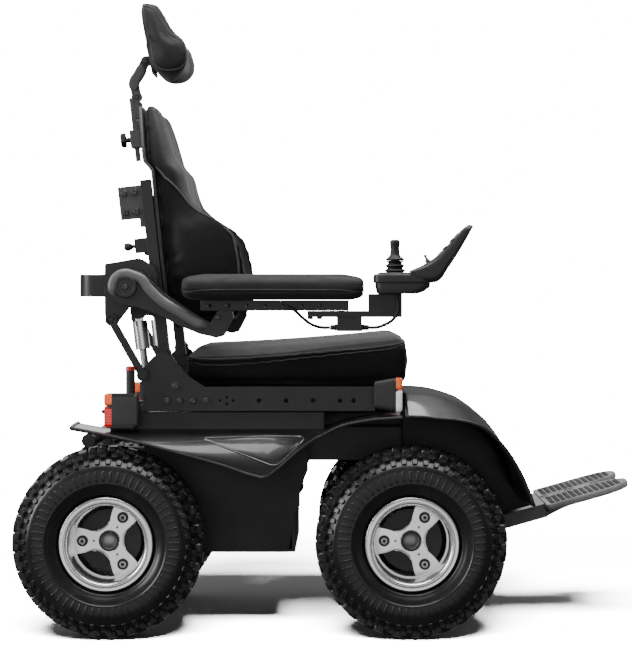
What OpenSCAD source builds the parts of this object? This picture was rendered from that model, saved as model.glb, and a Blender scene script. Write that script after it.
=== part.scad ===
// All-terrain power wheelchair: four driven wheels on a battery base, a tilting
// seat, a reclining back with linked flip-up armrests, a head rest, flip-up
// foot plates and a joystick pod on the right armrest.
// +X is forward, +Y is to the rider's left, Z is up, and the tyres stand on Z = 0.

/* [Wheels] */
// Outside diameter of a tyre over its tread
tyre_d = 355; // [345:1:365]
// Width of a tyre over its side walls
tyre_w = 145; // [135:1:150]
// Diameter of a wheel rim over its lips
rim_d = 172; // [164:1:180]
// Width of a wheel rim over its lips
rim_w = 122; // [116:1:126]
// Distance between the front and the rear axle
wheelbase = 559; // [550:1:590]
// Distance between the middles of the right and the left tyre
track = 535; // [530:1:550]
// Tread blocks in one row round a tyre
lug_count = 18; // [12:1:24]

/* [Base] */
// Height of the deck that the seat frame lies on
deck_z = 415; // [410:1:425]
// Ground clearance under the battery box
floor_z = 148; // [140:1:160]
// Length of the battery box
box_l = 285; // [275:1:295]
// Length of one battery
battery_l = 258; // [240:1:262]
// Width of one battery
battery_w = 168; // [155:1:172]
// Height of one battery
battery_h = 205; // [190:1:212]
// Diameter of a rear drive motor
motor_d = 96; // [88:1:100]

/* [Seat] */
// Width over the seat rails
seat_w = 516; // [510:1:530]
// Height of a seat rail
rail_h = 44.5; // [42:0.5:48]
// Length of the seat cushion
cushion_l = 425; // [400:1:430]
// Width of the seat cushion
cushion_w = 464; // [440:1:470]
// Height of the cushion at its rear edge
cushion_rear_h = 62; // [55:1:70]
// Height of the cushion at its front edge
cushion_front_h = 94; // [85:1:98]
// Diameter of an accessory hole in the seat rails
accessory_d = 8.5; // [6:0.5:10]

/* [Back] */
// Height of the back cushion along the canes
back_h = 448; // [430:1:460]
// Width of the back cushion
back_w = 410; // [390:1:415]
// Depth of a side wing in front of the back shell
wing_d = 175; // [160:1:185]
// Lean of the back at rest, in degrees
back_lean = 6.3; // [4:0.1:8]
// Length of a back cane above its recline pivot
cane_l = 326; // [320:1:350]
// Width of the head rest
head_w = 240; // [220:1:260]

/* [Arms] */
// Length of an arm pad
pad_l = 343; // [320:1:350]
// Width of an arm pad
pad_w = 90; // [80:1:95]
// Height of an arm pad
pad_h = 46; // [40:1:48]
// Width of the joystick pod
pod_w = 82; // [76:1:90]

/* [Foot rest] */
// Reach of the foot plates in front of the front axle
foot_reach = 423.5; // [415:0.5:430]
// Width over both foot plates
foot_w = 330; // [310:1:340]
// Rise of the foot plates towards their tips, in degrees
foot_slope = 15.7; // [12:0.1:18]

/* [Hidden] */
$fn = 48;
// Overrun of every cut
cut = 1;
// Radial running clearance of a pin or a shaft in its bore
pin_fit = 0.05;
// Gap between pieces that pass each other
gap = 0.5;

// Wheels
axle_z = tyre_d / 2;
overall_l = tyre_d / 2 + wheelbase + foot_reach;
rear_x = tyre_d / 2 - overall_l / 2;
front_x = rear_x + wheelbase;
tyre_in = track / 2 - tyre_w / 2;
lug_h = 9;
lug_sink = 7;
lug_t = 26;
lug_w = 47;
lug_tilt = 16;
lug_inset = 12;
rib_w = 14;
carcass_r = tyre_d / 2 - lug_h;
lip_h = 10;
lip_t = 5;
bead_r = rim_d / 2 - lip_h;
barrel_t = 6;
barrel_r = bead_r - barrel_t;
section_steps = 32;
section_power = 2.8;
disc_recess = 66;
disc_t = 12;
disc_z = rim_w / 2 - disc_recess - disc_t;
disc_top = disc_z + disc_t;
window_r = 38;
window_out_share = 0.93;
window_out = barrel_r * window_out_share;
window_clear = 28;
window_x = window_r + window_clear;
wheel_bolt_ring = 50;
wheel_bolt_r = 4;
wheel_bolt_head_r = 10;
wheel_bolt_head_h = 5;
drain_ring = 29;
drain_r = 2;
cap_r = 18;
cap_h = 9;
flange_r = wheel_bolt_ring + wheel_bolt_r * 2;
flange_t = 8;
shaft_r = 12.5;
motor_gap = 6;
motor_face = track / 2 + disc_z - flange_t - motor_gap;
shaft_sink = 34;
shaft_in = motor_face - shaft_sink;

// Base
panel_gap = 6;
panel_t = 4;
panel_y = tyre_in - panel_gap - panel_t;
motor_r = motor_d / 2;
motor_in = 24;
box_gap = 9.5;
box_x = rear_x + motor_r + box_gap;
box_end = box_x + box_l;
box_t = 6;
beam_h = 32;
beam_w = 20;
beam_z = deck_z - beam_h;
rail_t = 12;
rail_y = seat_w / 2 - rail_t;
beam_y = rail_y - cut - beam_w;
beam_tail = 9;
beam_end_share = 0.711;
beam_l = rear_x + wheelbase * beam_end_share - box_x + beam_tail;
cross_w = 24;
cross_h = 24;
cross_shares = [0.08, 0.5, 0.94];
gusset_inset = 26;
gusset_y = panel_y - gusset_inset;
gusset_t = 14;
gusset_back = 60;
gusset_low = 56;
gusset_high = 120;
tail_tube_r = 13;
tail_tube_back = 48;
tail_tube_drop = 25;
tail_tube_z = beam_z - tail_tube_drop;
tail_arm_w = 16;
kingpin_r = 8;
kingpin_gap = 5;
kingpin_y = tyre_in - kingpin_gap;
ear_r = 18;
ear_t = 16;
ear_gap = 40;
head_y = 82;
head_half_l = 30;
spine_half_w = 100;
spine_h = 68;
spine_z = beam_z - spine_h;
nose_half_w = 40;
nose_low = 38;
nose_high = 26;
nose_l = 168;
hood_post_w = 40;
hood_post_l = 14;
steer_motor_r = 38;
steer_motor_l = 95;
steer_motor_in = kingpin_y - steer_motor_l;
knuckle_r = 17;
battery_gap = 3;
terminal_r = 9;
terminal_h = 8;
terminal_shares = [0.15, 0.85];

// Shroud and front cover: lip heights along the side, as shares of the wheelbase
// behind or in front of the rear axle, and of the deck height
lip_y_share = 0.375;
lip_y = track / 2 + tyre_w * lip_y_share;
shroud_lap = 10;
shroud_in = tyre_in + shroud_lap;
skin_t = 4;
shroud_shares = [[-0.115, 0.938], [-0.02, 0.913], [0.094, 0.88], [0.24, 0.827], [0.39, 0.769],
    [0.487, 0.726], [0.51, 0.72], [0.552, 0.752], [0.602, 0.81], [0.666, 0.88], [0.713, 0.913],
    [0.749, 0.938], [0.847, 0.971], [0.968, 0.985]];
shroud_bulge_share = 0.32;
shroud_crease_share = 0.62;
hood_shares = [[0.979, 1.08, 0.979, 0.987], [1.019, 1.08, 1.019, 0.988], [1.094, 1.068, 1.09, 0.979],
    [1.14, 1.05, 1.14, 0.974], [1.18, 1.03, 1.19, 0.962], [1.242, 0.974, 1.236, 0.937],
    [1.27, 0.933, 1.27, 0.9], [1.296, 0.885, 1.302, 0.852], [1.32, 0.815, 1.334, 0.79],
    [1.34, 0.745, 1.362, 0.72], [1.358, 0.67, 1.383, 0.655], [1.376, 0.6, 1.398, 0.6]];
hood_crease_share = 0.6;
hood_flat_share = 0.62;
hood_edge_share = 0.82;
hood_post_z = deck_z * hood_shares[0][1] - skin_t - gap / 2;
hood_x = rear_x + hood_shares[0][0] * wheelbase;
hood_wall_inset = 66;
hood_wall_y = panel_y - hood_wall_inset;
hood_wall_low = 232;

// Side panel outline as shares of the box length and of the panel height
panel_h = beam_z - skin_t - floor_z;
panel_shares = [[0, 0], [0.955, 0], [1.008, 0.34], [1.032, 0.38], [1.032, 0.51], [1.085, 0.67],
    [1.085, 1], [0, 1]];

// Lamps
lamp_w = 32;
lamp_h = 63;
lamp_l = 46;
lens_t = 9;
front_lens_t = 6;
lamp_split = 22;
rear_lamp_drop = 27;
rear_lamp_z = deck_z - rear_lamp_drop;
rear_lamp_gap = 4;
rear_lamp_back = 56;
rear_lamp_x = box_x - rear_lamp_back;
front_lamp_rise = 2;
front_lamp_z = deck_z + front_lamp_rise;
lamp_arm_h = 20;
post_r = 8.5;
post_h = 42;
post_cap_h = 8;
post_out = 17;
post_share = 0.85;

// Seat frame
tilt_x = box_x;
tilt_rise = 10;
tilt_z = deck_z + tilt_rise;
tilt_r = 6;
tilt_eye_r = 11;
rail_gap = 2.5;
rail_z = deck_z + rail_gap;
rail_start = 10;
rail_x = tilt_x + rail_start;
rail_stop = 66.5;
rail_end = front_x - rail_stop;
rail_l = rail_end - rail_x;
side_plate_l = 110;
side_plate_h = 110;
side_plate_shares = [[0, 0], [-0.055, 0.27], [-0.1, 0.61], [-0.02, 0.76], [0.1, 0.895], [0.2, 0.985],
    [0.32, 1], [0.44, 0.93], [0.54, 0.775], [0.74, 0.575], [1, 0.4], [1, 0]];
insert_pitch = 24;
insert_x = 39;
insert_r = 6;
slot_r = 2.2;
slot_x = 150;
slot_half = 12;
accessory_rise = 19.5;
accessory_z = rail_z + accessory_rise;
coarse_pitch = 50;
fine_pitch = 25;
accessory_back = 215;
accessory_x = rail_end - accessory_back;
fine_x = accessory_x + 3 * coarse_pitch;
pan_t = 9;
pan_start = 72;
pan_x = rail_x + pan_start;
pan_z = rail_z + rail_h - pan_t;
pan_tube_r = 11;
pan_tube_drop = 17;
link_ahead = 4.4;
link_x = tilt_x + link_ahead;
link_rise = 69.4;
link_z = deck_z + link_rise;
link_pin_r = 8;
recline_ahead = 40;
recline_x = tilt_x + recline_ahead;
recline_rise = 110;
recline_z = deck_z + recline_rise;
recline_r = 8;
cushion_start = 67;
cushion_x = rail_x + cushion_start;
cushion_z = rail_z + rail_h + gap;
cushion_rows_shares = [0, 0.004, 0.018, 0.045, 0.1, 0.2, 0.35, 0.5, 0.65, 0.78, 0.88, 0.945, 0.98, 0.996, 1];
cushion_slope_power = 1.6;
cushion_side_share = 0.6;
cushion_top_share = 0.7;
seam_sharpness = 6;
cushion_point_count = 40;
cushion_power = 7;
cushion_crown = 16;
cushion_draw = 5;
cushion_seam_share = 0.3;
cushion_round = 20;
bolt_r = 4;
bolt_head_h = 4;

// Back, in its own leaning frame with the recline pivot at the origin
cane_d = 20;
cane_w = 25;
cane_boss = 29;
cane_y = rail_y - cane_boss;
cane_foot = 14;
bar_d = 20;
bar_h = 26;
low_bar_z = 78;
top_bar_z = 268;
shell_t = 8;
shell_x = cane_d / 2 + gap / 2;
shell_rows_shares = [0.07, 0.2, 0.4, 0.6, 0.685, 0.735, 0.79, 0.86, 0.94, 0.97];
pad_x = shell_x + shell_t + gap;
back_z = 36;
back_round = 18;
back_across = 18;
back_rows_shares = [0, 0.006, 0.02, 0.045, 0.1, 0.17, 0.25, 0.33, 0.4, 0.45, 0.5, 0.56, 0.62, 0.685, 0.735,
    0.79, 0.86, 0.92, 0.96, 0.985, 0.997, 1];
wing_shares = [[0, 0.8], [0.05, 0.93], [0.13, 1], [0.22, 1], [0.35, 0.965], [0.4, 0.89], [0.49, 0.63],
    [0.555, 0.4], [0.605, 0.32], [0.68, 0.3], [0.8, 0.275], [0.91, 0.24], [1, 0.2]];
lumbar_shares = [[0, 0.28], [0.2, 0.36], [0.45, 0.32], [0.7, 0.3], [0.9, 0.24], [1, 0.2]];
setback = 27;
setback_shares = [[0, 0], [0.685, 0], [0.79, 1], [1, 1]];
half_width_shares = [[0, 0.94], [0.1, 1], [0.6, 1], [0.75, 0.95], [0.88, 0.84], [1, 0.68]];
wing_power = 5;
wing_edge_share = 0.6;
back_side_share = 0.8;
back_rear_share = 0.4;
across_power = 0.8;
bracket_w = 12;
bracket_back = 44;
bracket_h = 62;
bracket_z = 256;
bracket_bolt_x_shares = [0.25, 0.7];
bracket_bolt_z_shares = [0.2, 0.8];
head_clamp_w = 44;
head_clamp_h = 34;
head_clamp_d = 20;
head_clamp_z = 404;
head_clamp_x = shell_x - setback - head_clamp_d;
knob_r = 13;
knob_t = 9;
knob_stem_r = 4;
knob_stem_l = 10;

// Head rest: stem in the back's frame, arm and pad
stem_w = 26;
stem_d = 8;
stem_rise = 98;
stem_drop = 26;
stem_l = stem_rise + stem_drop;
stem_z = head_clamp_z - stem_drop;
stem_inset = 6;
stem_x = head_clamp_x + stem_inset;
knuckle_pin_r = 4;
knuckle_eye_r = 10;
knuckle_x = -16;
knuckle_z = 504;
arm_eye_x = 8.8;
arm_eye_z = 572;
arm_elbow_x = -19;
arm_elbow_z = 530;
head_arm_t = 10;
head_arm_r = 9;
head_d = 96;
head_h = 162;
head_x = 16;
head_z = 524;
head_plate_t = 5;
head_plate_w = 90;
head_plate_h = 60;
head_plate_x = 23.6;
head_plate_turn = 6;
head_ear_t = 5;
head_outline_shares = [[0.045, 1], [0.0, 0.985], [0.02, 0.7], [0.07, 0.37], [0.12, 0.13], [0.22, 0.05],
    [0.38, 0.012], [0.6, 0], [0.77, 0.012], [0.92, 0.075], [0.995, 0.2], [0.955, 0.32], [0.86, 0.43],
    [0.7, 0.52], [0.5, 0.7], [0.3, 0.92]];
head_rows_shares = [-1, -0.985, -0.94, -0.85, -0.65, -0.35, 0, 0.35, 0.65, 0.85, 0.94, 0.985, 1];
head_shrink_shares = [[0, 1], [0.35, 1], [0.65, 0.98], [0.85, 0.93], [0.94, 0.86], [0.985, 0.74], [1, 0.62]];
head_hollow = 16;
head_middle_shares = [0.35, 0.45];

// Recline actuators
act_inset = 6;
act_y = cane_y - cane_w - act_inset;
act_top_back = 50;
act_top_x = recline_x - act_top_back;
act_top_rise = 76;
act_top_z = recline_z + act_top_rise;
act_rod_r = 7;
act_tube_r = 14;
act_eye_r = 13;
act_eye_t = 16;
act_slack = 2.5;
act_pin_r = 5;
act_dx = act_top_x - link_x;
act_dz = act_top_z - link_z;
act_l = norm([act_dx, act_dz]);
act_angle = atan2(-act_dx, act_dz);
act_tube_low_share = 0.4;
act_rod_top_share = 0.54;
act_stroke = 25;
act_neck = 4;

// Arm carrier and links
carrier_back = 22;
carrier_x = recline_x - carrier_back;
carrier_rise = 151;
carrier_z = recline_z + carrier_rise;
carrier_r = 7;
carrier_gap = 5;
bracket_in = cane_y + carrier_gap;
bracket_t = 38;
bracket_out = bracket_in + bracket_t;
hub_back = 42;
hub_x = carrier_x - hub_back;
hub_drop = 28;
hub_z = carrier_z - hub_drop;
hub_spigot_r = 14;
hub_r = 33;
hub_cap_r = 19;
link_top_back = 72;
link_top_x = carrier_x - link_top_back;
link_top_drop = 89;
link_top_z = carrier_z - link_top_drop;
link_t = 7;
link_half_w = 7;
link_eye_r = 11;
link_slack = 1.5;
link_in = bracket_out + cut;
lever_gap = 2;
lever_in = link_in + link_t + lever_gap;
lever_t = 28;
arm_y = lever_in + lever_t / 2;
bracket_l = 92;
bracket_hgt = 120;
bracket_shares = [[-0.92, 0.12], [-0.25, 0.21], [-0.18, 0.195], [0.06, 0.07], [0.14, -0.08], [0.14, -0.4],
    [-0.45, -0.55], [-0.65, -0.75], [-0.86, -0.8], [-0.92, -0.65]];
push_bar_h = 41;
push_bar_t = 8;
push_bar_drop = 18;
push_bar_z = hub_z - push_bar_drop;
push_bar_l = 50;
push_bar_round = 30;
push_bar_x = carrier_x + bracket_l * bracket_shares[0].x;
plunger_r = 7;
plunger_stem_r = 3;
plunger_l = 14;
block_l = 23;
block_h = 27;
block_w = 18;
block_z = 191;

// Armrests, with their places measured from the hub
lever_l = 200;
lever_h = 100;
lever_shares = [[0.0, 0.33], [0.125, 0.3], [0.22, 0.13], [0.355, -0.13], [0.54, -0.37], [0.68, -0.55],
    [0.78, -0.665], [0.855, -0.43], [0.98, -0.43], [0.985, -0.575], [0.9, -0.905], [0.835, -0.94],
    [0.68, -0.87], [0.495, -0.72], [0.31, -0.52], [0.125, -0.39], [0.0, -0.33]];
pad_ahead = 99;
pad_start = hub_x + pad_ahead;
pad_end = pad_start + pad_l;
arm_rail_start = 137;
arm_rail_x = hub_x + arm_rail_start;
pad_overhang = 32;
arm_rail_l = pad_end - pad_overhang - arm_rail_x;
arm_rail_h = 19;
arm_rail_w = 24;
arm_rail_drop = 44;
arm_rail_z = hub_z - arm_rail_drop;
arm_slot_r = 3;
arm_slot_pitch = 34;
arm_slots = floor(arm_rail_l / arm_slot_pitch) - 1;
pad_z = arm_rail_z + arm_rail_h + gap;
pad_rows_shares = [0, 0.006, 0.025, 0.07, 0.2, 0.4, 0.6, 0.8, 0.93, 0.975, 0.994, 1];
pad_point_count = 24;
pad_power = 3.6;
pad_round = 18;
pad_seam_share = -0.35;
pad_draw = 2.5;
pad_side_share = 0.8;
pad_top_share = 0.6;

// Joystick pod on the right armrest
bar_lap = 108;
bar_x = pad_end - bar_lap;
bar_l = 174;
bar_t = 11.7;
bar_w = 22;
bar_drop = 56;
bar_z = hub_z - bar_drop;
bar_foot_l = 22;
bar_foot_r = 5;
mount_gap = 4;
mount_x = pad_end + mount_gap;
mount_l = 62;
mount_z = bar_z + bar_t;
junction_lap = 54;
junction_x = pad_end - junction_lap;
junction_l = 46;
junction_h = 26;
junction_w = 34;
gland_r = 5;
gland_l = 12;
gland_drop = 19;
gland_z = bar_z - gland_drop;
pod_gap = 13;
pod_x = pad_end + pod_gap;
pod_l = 106;
pod_h = 36;
pod_drop = 13;
pod_z = hub_z - pod_drop;
pod_shares = [[0.06, 0], [0.78, 0], [1, 0.25], [1, 0.55], [0.9, 1], [0, 1], [0, 0.62], [0.03, 0.55]];
panel_l = 122;
panel_rise = 106;
pod_panel_shares = [[0, 0.146], [0.287, 0.146], [0.369, 0], [0.434, 0.047], [0.631, 0.283], [0.877, 0.736],
    [0.967, 0.925], [0.992, 0.981], [0.902, 1], [0.787, 0.877], [0.631, 0.68], [0.434, 0.443], [0.287, 0.368],
    [0.213, 0.283], [0, 0.18]];
panel_start_share = 0.6;
panel_x = pod_x + pod_l * panel_start_share;
panel_z = pod_z + pod_h + gap - panel_rise * pod_panel_shares[0].y;
stick_ahead = 40;
stick_x = pod_x + stick_ahead;
pivot_sink = 16;
pivot_z = pod_z + pod_h - pivot_sink;
well_r = 26;
well_d = 26;
collar_r = 30;
collar_h = 3;
stick_r = 4.5;
knob_low = 42;
knob_skirt_r = 18;
knob_waist_r = 7.5;
knob_top_r = 8.5;
knob_l = 38;
knob_skirt_h = 5;
boot_low_r = 21;
boot_top_r = 9;
boot_z = 14;
boot_h = 27;
boot_wall = 2;
boot_ribs = 3;
boot_rib_steps = 8;
boot_rib = 3.2;
ball_r = 8;
gimbal_in = 11;
gimbal_out = 16;
gimbal_h = 6;
gimbal_pin_r = 2.5;
gimbal_sink = 4;
stick_pin_r = 2;
button_r = 7;
button_h = 7;
button_proud = 3;
button_travel = 1.5;
button_turn = 47;
power_share = 0.49;
horn_share = 0.74;
toggle_r = 3;
toggle_l = 13;
toggle_eye_r = 5;
toggle_w = 10;
toggle_x_share = 0.3;
toggle_x = panel_x + panel_l * toggle_x_share;
toggle_z_share = 0.37;
toggle_z = panel_z + panel_rise * toggle_z_share;
toggle_lean = 25;

// Cable on the right armrest, from the rail into the junction box, then up to the pod:
// bends measured from the rear of the junction box, the middle of the arm and the glands
cable_r = 3;
cable_side_count = 8;
cable_rear_bends = [[-91, -15.2, 39], [-77, -15.2, 31], [-63, -14, 18], [-45, -10, 5], [-27, -6, 0],
    [-gland_l - gap, -6, 0]];
cable_front_bends = [[junction_l + gland_l + gap, -6, 0], [71, -6, 0], [85, -11, 4], [101, -16, 13],
    [111, -18, 27], [113, -18, 43], [111, -17, 54], [111, -17, pod_z - gland_z - gap]];

// Foot rest
foot_l = 166;
foot_t = 12;
foot_round = 62;
foot_tip_x = front_x + foot_reach;
foot_root_x = foot_tip_x - foot_l * cos(foot_slope) - foot_t * sin(foot_slope);
foot_top_z = 233;
foot_beam_l = 120;
foot_beam_t = 26;
foot_beam_half_w = 118;
foot_hinge_y = 12;
foot_eye_r = 8;
foot_pin_r = 3.5;
foot_in = foot_hinge_y + foot_eye_r + cut;
foot_ear_l = 16;
foot_ears = 3;
foot_ear_pitch = 52;
foot_bar_l = (foot_ears - 1) * foot_ear_pitch + foot_ear_l;
foot_bar_half_w = foot_hinge_y + foot_eye_r;
foot_bar_t = 10;
tread_l = 12;
tread_w = 4;
tread_h = 2;
tread_pitch = 20;
tread_across = 23;
tread_rows = 5;
tread_columns = 6;

// Helpers

// Signed power, for rounded-box curves
function spow(v, e) = sign(v) * pow(abs(v), e);

// Closed rounded-box ring of n points in a plane, counter-clockwise from the lower left
function ring(w, h, p, n) = [for (i = [0 : n - 1]) let (a = 180 + (i + 0.5) * 360 / n)
    [w * spow(cos(a), 2 / p), h * spow(sin(a), 2 / p)]];

// How far an edge is drawn in, at a distance from the end of a rounded form
function draw_in(d, r) = d >= r ? 0 : r * (1 - sqrt(1 - pow(1 - d / r, 2)));

// Points of an outline given as shares of a length and a height, from an origin
function outline(o, size, shares) = [for (s = shares) [o.x + size.x * s.x, o.y + size.y * s.y]];

// Solid through a list of rings, each counter-clockwise as seen from the far end
module skin(rings) {
    n = len(rings[0]);
    top = (len(rings) - 1) * n;
    walls = [for (j = [0 : len(rings) - 2], i = [0 : n - 1])
        let (a = j * n + i, b = j * n + (i + 1) % n) each [[a, b + n, b], [a, a + n, b + n]]];
    floors = [for (i = [0 : n / 2 - 2]) each [[i, i + 1, n - 2 - i], [i, n - 2 - i, n - 1 - i]]];
    roofs = [for (f = floors) [f[2] + top, f[1] + top, f[0] + top]];
    polyhedron([for (r = rings) each r], concat(walls, floors, roofs));
}

// Tube swept along a route
function along(route, i) = route[min(i + 1, len(route) - 1)] - route[max(i - 1, 0)];
module tube(route, r, sides) {
    skin([for (i = [0 : len(route) - 1])
        let (d = along(route, i) / norm(along(route, i)), s = cross(d, [0, 1, 0]) / norm(cross(d, [0, 1, 0])),
            t = cross(d, s))
        [for (k = [0 : sides - 1]) let (a = (k + 0.5) * 360 / sides)
            route[i] + r * (cos(a) * s + sin(a) * t)]]);
}

// Upright plate on the right, cut from an outline in X and Z
module plate(inner, t) {
    translate([0, -inner, 0]) rotate([90, 0, 0]) linear_extrude(t) children();
}

// Round bar across the chair on the right, from an inner to an outer distance
module bar(x, z, r, inner, outer) {
    translate([x, -inner, z]) rotate([90, 0, 0]) cylinder(r = r, h = outer - inner);
}

module left() {
    mirror([0, 1, 0]) children();
}

module both() {
    children();
    left() children();
}

// Places the leaning frame of the back
module on_back() {
    translate([recline_x, 0, recline_z]) rotate([0, -back_lean, 0]) children();
}

// Places a wheel on the right with its outer face towards -Y
module on_axle(x) {
    translate([x, -track / 2, axle_z]) rotate([90, 0, 0]) children();
}

// Places the slope of the foot rest, with the root of the plates at the origin
module on_foot() {
    translate([foot_root_x, 0, foot_top_z]) rotate([0, -foot_slope, 0]) children();
}

// Wheels

module tyre() {
    mid = (carcass_r + bead_r) / 2;
    half = (carcass_r - bead_r) / 2;
    drop = lug_w / 2 * sin(lug_tilt) + cut;
    color("#1b1b1c") union() {
        rotate_extrude() translate([mid, 0]) polygon(ring(half, tyre_w / 2, section_power, section_steps));
        rotate_extrude() translate([carcass_r - lug_sink, -rib_w / 2]) square([lug_h + lug_sink, rib_w]);
        for (row = [-1, 1], k = [0 : lug_count - 1])
            rotate(360 * (k + row / 4) / lug_count)
                translate([tyre_d / 2 - drop - (lug_h + lug_sink) / 2, 0, row * (lug_inset + lug_w / 2)])
                    rotate([0, -row * lug_tilt, 0]) cube([lug_h + lug_sink, lug_t, lug_w], center = true);
    }
}

module rim() {
    half = rim_w / 2;
    lip = rim_d / 2;
    color("#c4c6c9") union() {
        rotate_extrude() polygon([[barrel_r, -half], [lip, -half], [lip, lip_t - half],
            [bead_r, lip_t - half], [bead_r, half - lip_t], [lip, half - lip_t], [lip, half],
            [barrel_r, half]]);
        translate([0, 0, disc_z]) linear_extrude(disc_t) difference() {
            circle(r = barrel_r + barrel_t / 2);
            circle(r = shaft_r + pin_fit);
            for (k = [0 : 2]) rotate(k * 120) {
                intersection() {
                    translate([window_x, 0]) circle(r = window_r);
                    circle(r = window_out);
                }
                rotate(60) translate([wheel_bolt_ring, 0]) circle(r = wheel_bolt_r + pin_fit);
                rotate(60) translate([drain_ring, 0]) circle(r = drain_r);
            }
        }
    }
}

module hub() {
    color("#4a4b4d") {
        difference() {
            union() {
                translate([0, 0, disc_z - flange_t]) cylinder(r = flange_r, h = flange_t);
                translate([0, 0, shaft_in - track / 2])
                    cylinder(r = shaft_r, h = track / 2 - shaft_in + disc_top);
            }
            for (k = [0 : 2]) rotate(k * 120 + 60) translate([wheel_bolt_ring, 0, disc_z - flange_t - cut])
                cylinder(r = wheel_bolt_r + pin_fit, h = flange_t + 2 * cut);
        }
        translate([0, 0, disc_top]) cylinder(r = cap_r, h = cap_h);
        for (k = [0 : 2]) rotate(k * 120 + 60) translate([wheel_bolt_ring, 0, 0]) {
            translate([0, 0, disc_top]) cylinder(r = wheel_bolt_head_r, h = wheel_bolt_head_h);
            translate([0, 0, disc_z - flange_t]) cylinder(r = wheel_bolt_r, h = flange_t + disc_t);
        }
    }
}

// Base

module tilt_ear() {
    plate(beam_y, beam_w) translate([tilt_x, tilt_z]) circle(r = tilt_eye_r);
    translate([tilt_x - tilt_eye_r, -beam_y - beam_w, beam_z])
        cube([2 * tilt_eye_r, beam_w, tilt_z - beam_z]);
    bar(tilt_x, tilt_z, tilt_r, beam_y, seat_w / 2 + cut);
}

module steer_ears() {
    for (s = [-1, 1]) translate([front_x, -kingpin_y, axle_z + s * (ear_gap + ear_t / 2)]) {
        cylinder(r = ear_r, h = ear_t, center = true);
        translate([-ear_r, 0, -ear_t / 2]) cube([2 * ear_r, kingpin_y - head_y + cut, ear_t]);
    }
    translate([front_x, -kingpin_y, axle_z - ear_gap - ear_t])
        cylinder(r = kingpin_r, h = 2 * (ear_gap + ear_t));
}

module chassis_frame() {
    wall_h = beam_z + cross_h - floor_z;
    color("#2c2d2f") difference() {
        union() {
            translate([box_x, -panel_y, floor_z]) cube([box_l, 2 * panel_y, box_t]);
            for (x = [box_x, box_end - box_t])
                translate([x, -panel_y, floor_z]) cube([box_t, 2 * panel_y, wall_h]);
            for (s = cross_shares)
                translate([box_x - beam_tail + s * beam_l - cross_w / 2, -beam_y - cut, beam_z])
                    cube([cross_w, 2 * (beam_y + cut), cross_h]);
            both() {
                translate([box_x - beam_tail, -beam_y - beam_w, beam_z]) cube([beam_l, beam_w, beam_h]);
                tilt_ear();
                translate([rear_x - gusset_back, -gusset_y - gusset_t, axle_z - gusset_low])
                    cube([box_x + box_t - rear_x + gusset_back, gusset_t, gusset_low + gusset_high]);
                translate([rear_x - tail_tube_back - tail_arm_w / 2, -gusset_y - gusset_t, axle_z])
                    cube([tail_arm_w, gusset_t, tail_tube_z - axle_z]);
                bar(rear_x - tail_tube_back, tail_tube_z, tail_tube_r, 0, panel_y);
                steer_ears();
            }
            translate([front_x - head_half_l, -head_y - cut, axle_z - ear_gap - ear_t])
                cube([2 * head_half_l, 2 * (head_y + cut), beam_z + ear_gap + ear_t - axle_z]);
            translate([box_end - cut, -spine_half_w, spine_z])
                cube([front_x + head_half_l - box_end + cut, 2 * spine_half_w, beam_z - spine_z]);
            translate([front_x, -nose_half_w, axle_z - nose_low])
                cube([nose_l, 2 * nose_half_w, nose_low + nose_high]);
            translate([hood_x + skin_t, -hood_post_w / 2, spine_z])
                cube([hood_post_l, hood_post_w, hood_post_z - spine_z]);
        }
        both() bar(rear_x, axle_z, motor_r + pin_fit, gusset_y - cut, gusset_y + gusset_t + cut);
        on_foot() translate([-foot_beam_l, -foot_beam_half_w, -foot_beam_t])
            cube([foot_beam_l, 2 * foot_beam_half_w, foot_beam_t + nose_high]);
    }
}

module batteries() {
    y = (battery_w + battery_gap) / 2;
    for (s = [-1, 1]) translate([box_x + box_t + battery_gap, s * y, floor_z + box_t]) {
        color("#55585c") translate([0, -battery_w / 2, 0]) cube([battery_l, battery_w, battery_h]);
        color("#b0452f") for (s = terminal_shares) translate([s * battery_l, 0, battery_h])
            cylinder(r = terminal_r, h = terminal_h);
    }
}

module side_panels() {
    color("#18191b") both() plate(panel_y, panel_t)
        polygon(outline([box_x, floor_z], [box_l, panel_h], panel_shares));
}

function shroud_ring(x, z) =
    let (top = max(beam_z, z + skin_t), y1 = beam_y + beam_w,
        y2 = y1 + (lip_y - y1) * shroud_crease_share, z2 = top - (top - z) * shroud_bulge_share)
    [[x, -lip_y, z], [x, skin_t - lip_y, z], [x, skin_t - y2, z2 - skin_t], [x, skin_t - y1, top - skin_t],
        [x, -shroud_in, top - skin_t], [x, -shroud_in, top], [x, -y1, top], [x, -y2, z2]];

module shroud() {
    color("#101112") skin([for (s = shroud_shares) shroud_ring(rear_x + s.x * wheelbase, s.y * deck_z)]);
}

function hood_ring(s) =
    let (xc = rear_x + s[0] * wheelbase, zc = s[1] * deck_z,
        xl = rear_x + s[2] * wheelbase, zl = s[3] * deck_z,
        y1 = lip_y * hood_flat_share, y2 = lip_y * hood_edge_share, k = hood_crease_share,
        xk = xc + (xl - xc) * k, zk = zc + (zl - zc) * k)
    concat([[xl, -lip_y, zl], [xk, -y2, zk], [xc, -y1, zc], [xc, y1, zc], [xk, y2, zk], [xl, lip_y, zl]],
        [[xl - skin_t, lip_y - skin_t, zl - skin_t], [xk - skin_t, y2 - skin_t, zk - skin_t],
            [xc - skin_t, y1, zc - skin_t], [xc - skin_t, -y1, zc - skin_t],
            [xk - skin_t, skin_t - y2, zk - skin_t], [xl - skin_t, skin_t - lip_y, zl - skin_t]]);

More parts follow.
